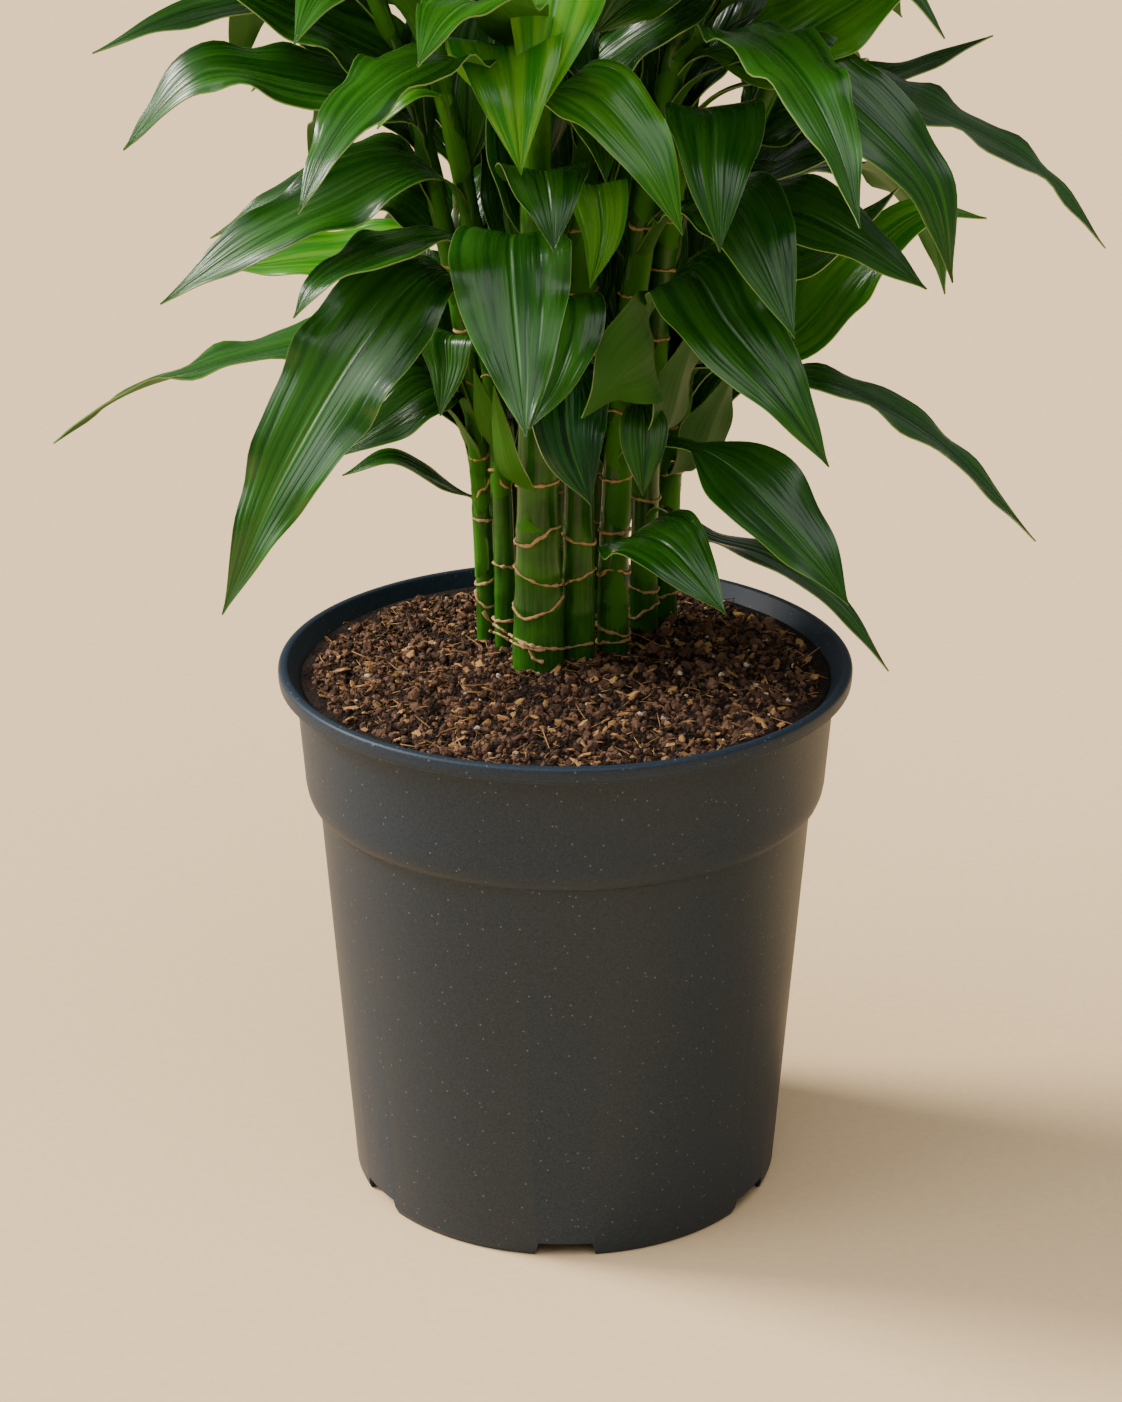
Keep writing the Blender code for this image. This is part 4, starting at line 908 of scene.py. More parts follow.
# %% A leaf as a thin closed solid
def grow_leaf(blade, shape):
    """Adds one leaf, a thin closed solid, to the lists of a mesh. Finish 1 is its lower face."""
    rows = leaf_rows(blade)
    across = COLUMNS + 1
    start = len(shape["vertices"])
    count = len(rows) * across
    chance = random.Random(f"tone {blade.stem} {blade.seed}").random()
    for points, normal, _ in rows:
        shape["vertices"] += points
    for points, normal, _ in rows:
        shape["vertices"] += [point - normal * LEAF_THICKNESS for point in points]
    total = SHEATH_ROWS + BLADE_ROWS

    def mark(corners, face):
        shape["faces"].append(tuple(start + corner + (count if below else 0) for corner, below in corners))
        shape["finish"].append(face)
        for corner, _ in corners:
            row, column = divmod(corner, across)
            along = rows[row][2]
            shape["uvs"].append((column / COLUMNS, row / total))
            shape["paint"].append((blade.youth, 0.0, chance, 1.0 - ease(-0.4, 0.22, along)))

    for row in range(len(rows) - 1):
        for column in range(COLUMNS):
            near = row * across + column
            far = near + across
            mark([(near, 0), (near + 1, 0), (far + 1, 0), (far, 0)], 0)
            mark([(near, 1), (far, 1), (far + 1, 1), (near + 1, 1)], 1)
        left = row * across
        right = left + COLUMNS
        mark([(left, 0), (left + across, 0), (left + across, 1), (left, 1)], 0)
        mark([(right, 0), (right, 1), (right + across, 1), (right + across, 0)], 0)
    for column in range(COLUMNS):
        mark([(column, 0), (column, 1), (column + 1, 1), (column + 1, 0)], 0)
        last = (len(rows) - 1) * across + column
        mark([(last, 0), (last + 1, 0), (last + 1, 1), (last, 1)], 0)


print("a leaf has", (SHEATH_ROWS + BLADE_ROWS) * COLUMNS * 4, "triangles and more round its edge")

# %% [markdown]
# ## The leaves in the shade
#
# Between the leaves that the photograph shows lie many more, half hidden, and without them
# the plant looks bare. They grow by a rule: one is tried every 9 mm up each cane, each a
# golden turn further round. A leaf is kept only where there is room, which is tested on a
# coarse copy. It may not cut another leaf or cane. Seen from the camera it may hardly cover
# a leaf of the plan, and hardly stick out of the plant's dense heart.

# %% The plant's dense heart
HEART = ((436, -260), (398, 20), (402, 130), (412, 240), (424, 330), (440, 400), (470, 448), (520, 500),
         (600, 520), (660, 505), (705, 450), (752, 405), (790, 320), (800, 230), (790, 120), (800, 40),
         (770, -260))  # outline, in pixels of the photograph, of the part that has no gaps


def pixel_of(point):
    """Where the camera shows a point, in pixels of the photograph."""
    away = point - camera.location
    depth = away.y * math.cos(VIEW_PITCH) - away.z * math.sin(VIEW_PITCH)
    rise = away.y * math.sin(VIEW_PITCH) + away.z * math.cos(VIEW_PITCH)
    return FRAME_WIDTH / 2 + VIEW_FOCAL * away.x / depth, FRAME_HEIGHT / 2 - VIEW_FOCAL * rise / depth


def is_inside(spot, outline):
    """Whether a spot lies inside an outline: an odd number of its sides cross a line to the right."""
    across, down = spot
    odd = False
    for (x1, y1), (x2, y2) in zip(outline, outline[1:] + outline[:1]):
        if (y1 > down) != (y2 > down) and across < x1 + (x2 - x1) * (down - y1) / (y2 - y1):
            odd = not odd
    return odd


print("the front cane at 0.4 m is seen at", pixel_of(stem_point(STEMS["stem_front"], 0.4)))

# %% Search trees of leaves and canes
TRIAL_FOOT = 0.200
TRIAL_SIDES = 8
TRIAL_ROWS = 24


def leaf_search(rows):
    """Search tree of a leaf's surface."""
    across = len(rows[0][0])
    corners = [point for points, _, _ in rows for point in points]
    quads = [(low + i, low + i + 1, low + across + i + 1, low + across + i)
             for low in range(0, across * (len(rows) - 1), across) for i in range(across - 1)]
    return BVHTree.FromPolygons(corners, quads)


def tube_faces(rings, sides, first=0):
    """The faces of a tube whose rings of corners follow one another."""
    return [(low + i, low + (i + 1) % sides, low + sides + (i + 1) % sides, low + sides + i)
            for low in range(first, first + sides * (rings - 1), sides) for i in range(sides)]


def round_axis(stem, height, turn, radius):
    """A point at a turn round the cane's axis."""
    return stem_point(stem, height) + Vector((math.cos(turn), math.sin(turn), 0.0)) * radius


def cane_search(stem):
    """Search tree of a cane's surface, with few sides."""
    climb = stem.top[2] - TRIAL_FOOT
    heights = [TRIAL_FOOT + climb * step / TRIAL_ROWS for step in range(TRIAL_ROWS + 1)]
    turns = [2 * math.pi * side / TRIAL_SIDES for side in range(TRIAL_SIDES)]
    corners = [round_axis(stem, height, turn, stem_radius(stem, height))
               for height in heights for turn in turns]
    return BVHTree.FromPolygons(corners, tube_faces(TRIAL_ROWS + 1, TRIAL_SIDES))


cane_searches = {stem.name: cane_search(stem) for stem in STEMS.values()}
grown = [(name, leaf_search(leaf_rows(blade, TRIAL_COLUMNS))) for name in blades for blade in blades[name]]
shown = [leaf_search(leaf_rows(seen_blade(leaf, number), TRIAL_COLUMNS))
         for number, leaf in enumerate(LEAVES)]
print("search trees:", len(grown), "leaves and", len(cane_searches), "canes")

# %% Test the room for a leaf
FREE_FROM = 0.12  # share of a blade from which on it has to be clear of the others
MOST_COVERING = 0.04
MOST_OUTSIDE = 0.10


def in_view(points):
    """Shares of the points that cover a leaf of the plan, and that stick out of the heart."""
    covering = 0
    outside = 0
    for point in points:
        sight = (point - camera.location).normalized()
        if any(search.ray_cast(point + sight * 0.001, sight)[0] for search in shown):
            covering += 1
        elif not is_inside(pixel_of(point), HEART):
            reach = (point - camera.location).length - 0.002
            if not any(search.ray_cast(camera.location, sight, reach)[0] for search in shown):
                outside += 1
    return covering / len(points), outside / len(points)


def has_room(blade):
    """Whether a blade fits: it cuts nothing, and hardly covers a leaf or leaves the heart."""
    rows = leaf_rows(blade, TRIAL_COLUMNS)
    free = [row for row in rows if row[2] > FREE_FROM]
    search = leaf_search(free)
    if any(search.overlap(other) for name, other in cane_searches.items() if name != blade.stem):
        return False
    if any(search.overlap(other) for _, other in grown):
        return False
    covering, outside = in_view([point for points, _, _ in free[::3] for point in points[::2]])
    return covering <= MOST_COVERING and outside <= MOST_OUTSIDE


print("a clear point above the plant covers and sticks out:", in_view([UP]))

# %% Ways to grow a leaf in the shade
SHADE_SHEATH = 0.024
SHADE_NECK = 0.16
FIRST_SHADE_SEED = 100
SHADE_STEP = 0.009
SHADE_TURNS = [math.radians(turn) for turn in
               (0, 20, -20, 40, -40, 65, -65, 90, -90, 120, -120, 150, -150, 180)]
SHADE_FORMS = (
    # (rise and droop in degrees, length), from leaves that stand up along the cane to arching ones
    (82, 22, 0.115), (66, 85, 0.120), (76, 42, 0.100), (84, 30, 0.085), (58, 110, 0.095), (80, 60, 0.070),
)


def shade_blade(stem, count, height, turn_aside, form):
    """A half hidden leaf: some stand up along the cane, and some arch out from it."""
    draw = random.Random(f"shade {stem.name} {count}")
    rise, droop, length = form
    heading = math.radians(stem.fan) + count * GOLDEN_TURN + turn_aside
    length *= draw.uniform(0.9, 1.1)
    spine = arching_spine(stem_point(stem, height), heading, math.radians(rise + draw.uniform(-4.0, 4.0)),
                          math.radians(droop), length)
    out = Vector((math.cos(heading), math.sin(heading), 0.0))
    width = min(0.036, 0.30 * length) * draw.uniform(0.9, 1.1)
    sheath = min(SHADE_SHEATH, height - stem.scars[-1] - 0.002)  # above the scars that show
    return Blade(stem.name, height, out, spine[4::4], sheath, width, 0, 0, SHADE_NECK,
                 draw.uniform(0.0, 0.25), FIRST_SHADE_SEED + count)


def shade_tries(stem, count, height):
    """Every way to grow one shade leaf, beginning with a different form each time."""
    for number in range(len(SHADE_FORMS)):
        form = SHADE_FORMS[(count + number) % len(SHADE_FORMS)]
        for turn_aside in SHADE_TURNS:
            yield shade_blade(stem, count, height, turn_aside, form)


print("ways to grow a shade leaf:", len(SHADE_FORMS) * len(SHADE_TURNS))

# %% Grow leaves where there is room
shaded = 0
for stem in STEMS.values():
    low = stem.scars[-1] + 0.012
    for count in range(int((stem.leafy_from - low) / SHADE_STEP) + 1):
        blade = next(filter(has_room, shade_tries(stem, count, low + SHADE_STEP * count)), None)
        if blade:
            blades[stem.name].append(blade)
            grown.append((stem.name, leaf_search(leaf_rows(blade, TRIAL_COLUMNS))))
            shaded += 1
print("leaves in the shade:", shaded)

# %% Make the leaves of each stem one piece
for stem in STEMS.values():
    shape = {"vertices": [], "faces": [], "finish": [], "uvs": [], "paint": []}
    for blade in blades[stem.name]:
        grow_leaf(blade, shape)
    foliage = new_piece(stem.name + "_leaves", shape["vertices"], shape["faces"], leaf_skin)
    foliage.data.materials.append(leaf_back)
    foliage.data.polygons.foreach_set("material_index", shape["finish"])
    uvs = foliage.data.uv_layers.new(name="blade")
    uvs.data.foreach_set("uv", [value for pair in shape["uvs"] for value in pair])
    paints = foliage.data.attributes.new("leaf_paint", "FLOAT_COLOR", "CORNER")
    paints.data.foreach_set("color", [value for colour in shape["paint"] for value in colour])
    foliage.data.shade_smooth()
    foliage.data.set_sharp_from_angle(angle=math.radians(60.0))
    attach(foliage, "root")
    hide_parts(stem.name)
    print(foliage.name, triangles(foliage), "triangles")

# %% [markdown]
# ## The canes
#
# A cane is a green stem that stays smooth between its scars, where leaves once sat. It is
# faintly striped along its length, and paler in patches, where the light has bleached it. A
# plain tube would look like pipe, so the radius swells a little at each scar, and the tube
# has many rows where it shows.

# %% Green cane skin
STRIPE_WIDTH = 0.0016

cane_skin, tree, shader = new_material("green_cane", 0.34, 0.3)
place = add_node(tree, "ShaderNodeTexCoord").outputs["Object"]
drawn_out = add_node(tree, "ShaderNodeMapping", {"Vector": place, "Scale": (1.0, 1.0, 0.06)})
stripes = add_node(tree, "ShaderNodeTexNoise", {"Vector": drawn_out.outputs[0], "Scale": 1 / STRIPE_WIDTH,
                                                "Detail": 3.0})
patches = add_node(tree, "ShaderNodeTexNoise", {"Vector": place, "Scale": 70.0, "Detail": 3.0})
skin = add_node(tree, "ShaderNodeMix", {
    0: add_node(tree, "ShaderNodeMapRange", {"Value": stripes.outputs["Fac"], "From Min": 0.3,
                                             "From Max": 0.7}).outputs[0],
    6: linear("#16400A"), 7: linear("#2C6C10")}, data_type="RGBA")
bleached = add_node(tree, "ShaderNodeMix", {
    0: add_node(tree, "ShaderNodeMapRange", {"Value": patches.outputs["Fac"], "From Min": 0.45,
                                             "From Max": 0.75, "To Max": 0.5}).outputs[0],
    6: skin.outputs[2], 7: linear("#428A12")}, data_type="RGBA")
tree.links.new(bleached.outputs[2], shader.inputs["Base Color"])
bump = add_node(tree, "ShaderNodeBump", {"Height": stripes.outputs["Fac"], "Strength": 0.3,
                                         "Distance": 0.0003})
tree.links.new(bump.outputs["Normal"], shader.inputs["Normal"])
print("stripes round the front cane:", round(2 * math.pi * STEMS["stem_front"].foot_radius / STRIPE_WIDTH))

# %% Raise the canes
CANE_FOOT = 0.200
CANE_SIDES = 28
FINE_ROW = 0.0012
COARSE_ROW = 0.012
FINE_ROWS_TO = 0.345  # the cane shows up to this height
SWELL = 0.04
SWELL_REACH = 0.0022
WAIST = 0.0105
WAIST_REACH = 0.010
CANE_FULLNESS = 1.09


def scar_heights(stem):
    """The scars that the plan gives, and more by rule up the leafy part."""
    draw = random.Random("scars " + stem.name)
    heights = list(stem.scars)
    while heights[-1] < stem.top[2] - 0.05:
        heights.append(heights[-1] + draw.uniform(0.020, 0.030))
    return heights


def cane_rows(stem):
    """(height, radius) up the cane, closer together where it shows."""
    scars = scar_heights(stem)
    rows = []
    height = CANE_FOOT
    while height < stem.top[2] - 0.002:
        near = min(abs(height - scar) for scar in scars)
        swell = SWELL * math.exp(-(near / SWELL_REACH) ** 2)
        waist = WAIST * math.cos(math.pi * min(1.0, near / WAIST_REACH))
        rows.append((height, stem_radius(stem, height) * (CANE_FULLNESS + swell + waist)))
        height += FINE_ROW if height < FINE_ROWS_TO else COARSE_ROW
    rows.append((stem.top[2] - 0.0015, stem.top_radius * 0.7))
    rows.append((stem.top[2], stem.top_radius * 0.3))
    return rows


cane_surfaces = {}
for stem in STEMS.values():
    rows = cane_rows(stem)
    turns = [2 * math.pi * side / CANE_SIDES for side in range(CANE_SIDES)]
    vertices = [round_axis(stem, height, turn, radius) for height, radius in rows for turn in turns]
    faces = tube_faces(len(rows), CANE_SIDES)
    faces.append(tuple(reversed(range(CANE_SIDES))))
    faces.append(tuple(range(len(vertices) - CANE_SIDES, len(vertices))))
    cane_surfaces[stem.name] = BVHTree.FromPolygons(vertices, faces)
    cane = new_piece(stem.name + "_cane", vertices, faces, cane_skin)
    cane.data.shade_smooth()
    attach(cane, "root")
    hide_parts(stem.name)
print("canes:", len(STEMS), "with", CANE_SIDES, "sides")

# %% [markdown]
# ## The scars
#
# Where a leaf has dropped, a dry tan line of torn fibres runs round the cane. It slants and
# wavers, and it is thick in one place and thin in the next. The ones that the photograph
# shows are read from it as pixels and wrapped round the canes, and the others follow a rule.
# Work along a path is work for Geometry Nodes: the tree takes plain lines of edges, shakes
# them, and sweeps a small circle along them whose size wavers too. The same tree makes the
# loose root strand that lies across the front canes.

# %% Dry fibre
FIBRE_GRAIN = 0.0011

fibre, tree, shader = new_material("dry_leaf_fibre", 0.85, 0.25)
place = add_node(tree, "ShaderNodeTexCoord").outputs["Object"]
fray = add_node(tree, "ShaderNodeTexNoise", {"Vector": place, "Scale": 1 / FIBRE_GRAIN, "Detail": 3.0})
tan = add_node(tree, "ShaderNodeMix", {0: fray.outputs["Fac"], 6: linear("#936536"), 7: linear("#E8C490")},
               data_type="RGBA")
tree.links.new(tan.outputs[2], shader.inputs["Base Color"])
bump = add_node(tree, "ShaderNodeBump", {"Height": fray.outputs["Fac"], "Strength": 0.8, "Distance": 0.0004})
tree.links.new(bump.outputs["Normal"], shader.inputs["Normal"])
print("fibre grain:", FIBRE_GRAIN * 1000, "mm")

# %% Helpers for Geometry Nodes
def new_geometry_tree(name, inputs):
    """A Geometry Nodes tree with named inputs, its input node and its output node."""
    tree = bpy.data.node_groups.new(name, "GeometryNodeTree")
    tree.interface.new_socket("Geometry", in_out="INPUT", socket_type="NodeSocketGeometry")
    for label, kind, value in inputs:
        socket = tree.interface.new_socket(label, in_out="INPUT", socket_type=kind)
        if value is not None:
            socket.default_value = value
    tree.interface.new_socket("Geometry", in_out="OUTPUT", socket_type="NodeSocketGeometry")
    return tree, add_node(tree, "NodeGroupInput"), add_node(tree, "NodeGroupOutput")


def set_inputs(modifier, values):
    """Sets a Geometry Nodes modifier's inputs by the identifiers of their sockets."""
    sockets = {item.name: item.identifier for item in modifier.node_group.interface.items_tree
               if item.item_type == "SOCKET" and item.in_out == "INPUT"}
    for name, value in values.items():
        modifier[sockets[name]] = value


print("node trees so far:", len(bpy.data.node_groups))

# %% A tree that sweeps frayed strands
strand_tree, given, result = new_geometry_tree("Frayed strands", (
    ("Radius", "NodeSocketFloat", 0.0007), ("Unevenness", "NodeSocketFloat", 0.6),
    ("Wander", "NodeSocketFloat", 0.0006), ("Material", "NodeSocketMaterial", None)))
paths = add_node(strand_tree, "GeometryNodeMeshToCurve", {0: given.outputs["Geometry"]})
spot = add_node(strand_tree, "GeometryNodeInputPosition")
shake = add_node(strand_tree, "ShaderNodeTexNoise", {"Vector": spot.outputs[0], "Scale": 240.0,
                                                     "Detail": 2.0})
off_centre = add_node(strand_tree, "ShaderNodeVectorMath", {0: shake.outputs["Color"], 1: (0.5, 0.5, 0.5)},
                      operation="SUBTRACT")
push = add_node(strand_tree, "ShaderNodeVectorMath",
                {0: off_centre.outputs[0], "Scale": given.outputs["Wander"]}, operation="SCALE")
moved = add_node(strand_tree, "GeometryNodeSetPosition", {0: paths.outputs[0], "Offset": push.outputs[0]})
lumps = add_node(strand_tree, "ShaderNodeTexNoise", {"Vector": spot.outputs[0], "Scale": 420.0,
                                                     "Detail": 1.0})
waver = add_node(strand_tree, "ShaderNodeMapRange", {
    "Value": lumps.outputs["Fac"], "From Min": 0.3, "From Max": 0.7, "To Max": 1.6,
    "To Min": add_node(strand_tree, "ShaderNodeMath", {0: 1.0, 1: given.outputs["Unevenness"]},
                       operation="SUBTRACT").outputs[0]})
thickness = add_node(strand_tree, "ShaderNodeMath", {0: waver.outputs[0], 1: given.outputs["Radius"]},
                     operation="MULTIPLY")
sized = add_node(strand_tree, "GeometryNodeSetCurveRadius", {0: moved.outputs[0],
                                                             "Radius": thickness.outputs[0]})
ring = add_node(strand_tree, "GeometryNodeCurvePrimitiveCircle", {"Resolution": 6, "Radius": 1.0})
swept = add_node(strand_tree, "GeometryNodeCurveToMesh", {
    0: sized.outputs[0], 1: ring.outputs[0], "Fill Caps": True,
    "Scale": add_node(strand_tree, "GeometryNodeInputRadius").outputs[0]})
real = add_node(strand_tree, "GeometryNodeRealizeInstances", {0: swept.outputs[0]})
coated = add_node(strand_tree, "GeometryNodeSetMaterial", {0: real.outputs[0],
                                                           "Material": given.outputs["Material"]})
strand_tree.links.new(coated.outputs[0], result.inputs[0])
print("strand tree:", len(strand_tree.nodes), "nodes")

# %% Where the scars are seen
SCAR_RADIUS = 0.00062
SCAR_WANDER = 0.0007
SCARS_TO = 0.42  # leaves hide the scars above this height
SCAR_CLEAR = 0.012
LOOP_POINTS = 48
SEEN_SCARS = {  # in pixels of the photograph, from left to right across the cane
    "stem_left": (((475, 500), (483, 489), (491, 477)), ((475, 518), (484, 520), (492, 518)),
                  ((478, 584), (486, 583), (493, 578)), ((474, 592), (480, 601), (488, 607))),
    "stem_front_left": (((498, 470), (502, 484), (508, 488), (512, 482)),
                        ((494, 563), (504, 566), (514, 566)), ((491, 619), (502, 621), (513, 619))),
    "stem_front": (((516, 543), (530, 545), (540, 538), (550, 528)),
                   ((516, 567), (530, 579), (543, 585), (561, 583)),
                   ((514, 607), (526, 618), (545, 612), (559, 598))),
    "stem_middle": (((567, 536), (580, 543), (592, 543)), ((563, 584), (577, 579), (591, 570))),
    "stem_front_right": (((600, 530), (610, 533), (622, 532)),
                         ((601, 576), (610, 569), (618, 570), (626, 573)),
                         ((599, 625), (612, 632), (624, 636)), ((597, 643), (610, 642), (624, 640))),
    "stem_right": (((636, 588), (646, 592), (654, 591)), ((636, 618), (646, 610), (654, 604))),
    "stem_far_right": (((660, 597), (668, 594), (675, 592)),),
}


print("scars read from the photograph:", sum(len(paths) for paths in SEEN_SCARS.values()))

# %% Sweep lines into strands
def strand_piece(name, lines, closed, radius, wander):
    """One mesh of strands that follow the lines."""
    vertices = []
    line_edges = []
    for line in lines:
        first = len(vertices)
        vertices += line
        line_edges += [(first + i, first + i + 1) for i in range(len(line) - 1)]
        if closed:
            line_edges.append((first + len(line) - 1, first))
    mesh = bpy.data.meshes.new(name)
    mesh.from_pydata(vertices, line_edges, [])
    blank = bpy.data.objects.new(name + "_paths", mesh)
    bpy.context.scene.collection.objects.link(blank)
    sweep = blank.modifiers.new("Strands", "NODES")
    sweep.node_group = strand_tree
    set_inputs(sweep, {"Radius": radius, "Wander": wander, "Material": fibre})
    piece = settle(blank, name)
    piece.data.shade_smooth()
    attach(piece, "root")
    return piece


print("strands use", strand_tree.name)

# %% Wrap a scar round a cane
def seen_mark(stem, pixel):
    """(turn round the cane, height) of a pixel on the cane's front, or just past its edge."""
    depth = stem.foot[1]
    for _ in range(4):
        spot = seen_point(*pixel, depth)
        axis = stem_point(stem, spot.z)
        radius = stem_radius(stem, spot.z)
        turn = -math.acos(max(-0.98, min(0.98, (spot.x - axis.x) / radius)))
        depth = axis.y + radius * math.sin(turn)
    return turn, spot.z


def ruled_marks(stem, height, draw):
    """Marks of a scar that the photograph doesn't show: a slanting ring with a dip in it."""
    slant = draw.uniform(-0.0022, 0.0022)
    heading = draw.uniform(0.0, 2 * math.pi)
    turns = [-math.pi + math.pi / 3 * step for step in range(6)]
    return [(turn, height + slant * math.sin(turn + heading) + draw.uniform(-0.0008, 0.0008))
            for turn in turns]


def scar_loop(stem, marks):
    """A loop round the cane that passes the marks and closes smoothly behind."""
    first_turn, first_height = marks[0]
    ring_marks = [*marks, (first_turn + 2 * math.pi, first_height)]
    points = []
    for step in range(LOOP_POINTS):
        turn = first_turn + 2 * math.pi * step / LOOP_POINTS
        for (low_turn, low), (high_turn, high) in zip(ring_marks, ring_marks[1:]):
            if turn <= high_turn:
                height = low + (high - low) * ease(low_turn, high_turn, turn)
                break
        shaken_at = Vector((math.cos(turn) * 2.5, math.sin(turn) * 2.5, first_height * 90.0))
        height += 0.0004 * noise.noise(shaken_at)
        radius = stem_radius(stem, height) * (CANE_FULLNESS + SWELL * 0.7) + SCAR_RADIUS * 0.3
        points.append(round_axis(stem, height, turn, radius))
    return points


print("a mark of the front cane, as turn and height:", seen_mark(STEMS["stem_front"], (530, 545)))

# %% Ring the canes
for stem in STEMS.values():
    draw = random.Random("loops " + stem.name)
    seen_loops = [[seen_mark(stem, pixel) for pixel in path] for path in SEEN_SCARS.get(stem.name, ())]
    seen_heights = [marks[0][1] for marks in seen_loops]
    ruled = [height for height in scar_heights(stem)
             if max(seen_heights, default=0.0) + SCAR_CLEAR < height < SCARS_TO]
    loops = [scar_loop(stem, marks) for marks in seen_loops]
    loops += [scar_loop(stem, ruled_marks(stem, height, draw)) for height in ruled]
    scars = strand_piece(stem.name + "_scars", loops, True, SCAR_RADIUS, SCAR_WANDER)
    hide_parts(stem.name)
    print(scars.name, len(loops), "scars,", triangles(scars), "triangles")

# %% Lay the root strand on the canes
ROOT_RADIUS = 0.00062
ROOT_WANDER = 0.0011
ROOT_PATHS = (
    # In pixels of the photograph: the strand, its lower twin, a rootlet and two torn bits
    ((483, 612), (491, 622), (503, 630), (514, 637), (532, 646), (557, 649), (578, 646), (593, 643),
     (604, 642)),
    ((489, 630), (503, 636), (516, 644), (530, 649), (545, 650)),
    ((518, 641), (527, 648), (534, 659), (543, 662)),
    ((476, 640), (478, 646), (481, 651)),
    ((671, 612), (675, 618), (674, 625)),
)


def laid_path(path):
    """A path of pixels as a line that lies on the canes and bridges the gaps between them."""
    flat = [Vector((across, down, 0.0)) for across, down in path]
    pixels = even_points(smooth_line(flat), 8 * len(path))
    depths = []
    for pixel in pixels:
        sight = (seen_point(pixel.x, pixel.y, 0.0) - camera.location).normalized()
        hits = [search.ray_cast(camera.location, sight)[0] for search in cane_surfaces.values()]
        depths.append(min((hit.y for hit in hits if hit), default=None))
    known = [number for number, depth in enumerate(depths) if depth is not None]
    line = []
    for number, pixel in enumerate(pixels):
        before = max((i for i in known if i <= number), default=known[0])
        after = min((i for i in known if i >= number), default=known[-1])
        share = (number - before) / (after - before) if after > before else 0.0
        depth = depths[before] + (depths[after] - depths[before]) * share
        line.append(seen_point(pixel.x, pixel.y, depth - ROOT_RADIUS * 0.8))
    for _ in range(2):
        line = [line[0]] + [(a + b * 2 + c) / 4 for a, b, c in zip(line, line[1:], line[2:])] + [line[-1]]
    return line


root_lines = [laid_path(path) for path in ROOT_PATHS]
root_strand = strand_piece("root_strand", root_lines, False, ROOT_RADIUS, ROOT_WANDER)
print("root strand:", triangles(root_strand), "triangles")

# %% [markdown]
# ## The peat
#
# Potting peat is a heap of crumbs, fibres and chips, and its look is all in the shadows
# between them. So the ground below is a rough dark mound with lumps of three sizes, and
# Geometry Nodes strew real pieces over it: dark clods and crumbs, orange-brown fibres, tan
# bark chips and a few pale grains of perlite. A piece has only 20 to 80 faces, and each copy
# gets its own turn, size and tone. The tone is a value stored on the mesh, which the
# material reads, and it is what sets a single chip off from the dark around it.

# %% Moist peat
PEAT_GRAIN = 0.0016
BARK_GRAIN = 0.0012
PERLITE_PORES = 0.0009

peat, tree, shader = new_material("moist_peat", 0.9, 0.25)
place = add_node(tree, "ShaderNodeTexCoord").outputs["Object"]
crumble = add_node(tree, "ShaderNodeTexNoise", {"Vector": place, "Scale": 1 / PEAT_GRAIN, "Detail": 4.0})
lot = add_node(tree, "ShaderNodeAttribute", attribute_name="tone")
rarely_light = add_node(tree, "ShaderNodeMath", {0: lot.outputs["Fac"], 1: 3.0}, operation="POWER")
earth = add_node(tree, "ShaderNodeMix", {0: rarely_light.outputs[0], 6: linear("#150C07"),
                                         7: linear("#83604A")}, data_type="RGBA")
dusty = add_node(tree, "ShaderNodeMix", {
    0: add_node(tree, "ShaderNodeMapRange", {"Value": crumble.outputs["Fac"], "From Min": 0.45,
                                             "From Max": 0.75, "To Max": 0.4}).outputs[0],
    6: earth.outputs[2], 7: linear("#5A4030")}, data_type="RGBA")
tree.links.new(dusty.outputs[2], shader.inputs["Base Color"])
bump = add_node(tree, "ShaderNodeBump", {"Height": crumble.outputs["Fac"], "Strength": 1.0,
                                         "Distance": 0.0012})
tree.links.new(bump.outputs["Normal"], shader.inputs["Normal"])
print("peat grain:", PEAT_GRAIN * 1000, "mm")

# %% Shredded bark and perlite
bark, tree, shader = new_material("shredded_bark", 0.85, 0.25)
place = add_node(tree, "ShaderNodeTexCoord").outputs["Object"]
fleck = add_node(tree, "ShaderNodeTexNoise", {"Vector": place, "Scale": 1 / BARK_GRAIN, "Detail": 3.0})
lot = add_node(tree, "ShaderNodeAttribute", attribute_name="tone")
brown = add_node(tree, "ShaderNodeMix", {0: lot.outputs["Fac"], 6: linear("#5C3518"), 7: linear("#D7A468")},
                 data_type="RGBA")
worn = add_node(tree, "ShaderNodeMix", {
    0: add_node(tree, "ShaderNodeMath", {0: fleck.outputs["Fac"], 1: 0.6}, operation="MULTIPLY").outputs[0],
    6: brown.outputs[2], 7: linear("#3A2416")}, data_type="RGBA")
tree.links.new(worn.outputs[2], shader.inputs["Base Color"])
bump = add_node(tree, "ShaderNodeBump", {"Height": fleck.outputs["Fac"], "Strength": 0.7, "Distance": 0.0005})
tree.links.new(bump.outputs["Normal"], shader.inputs["Normal"])

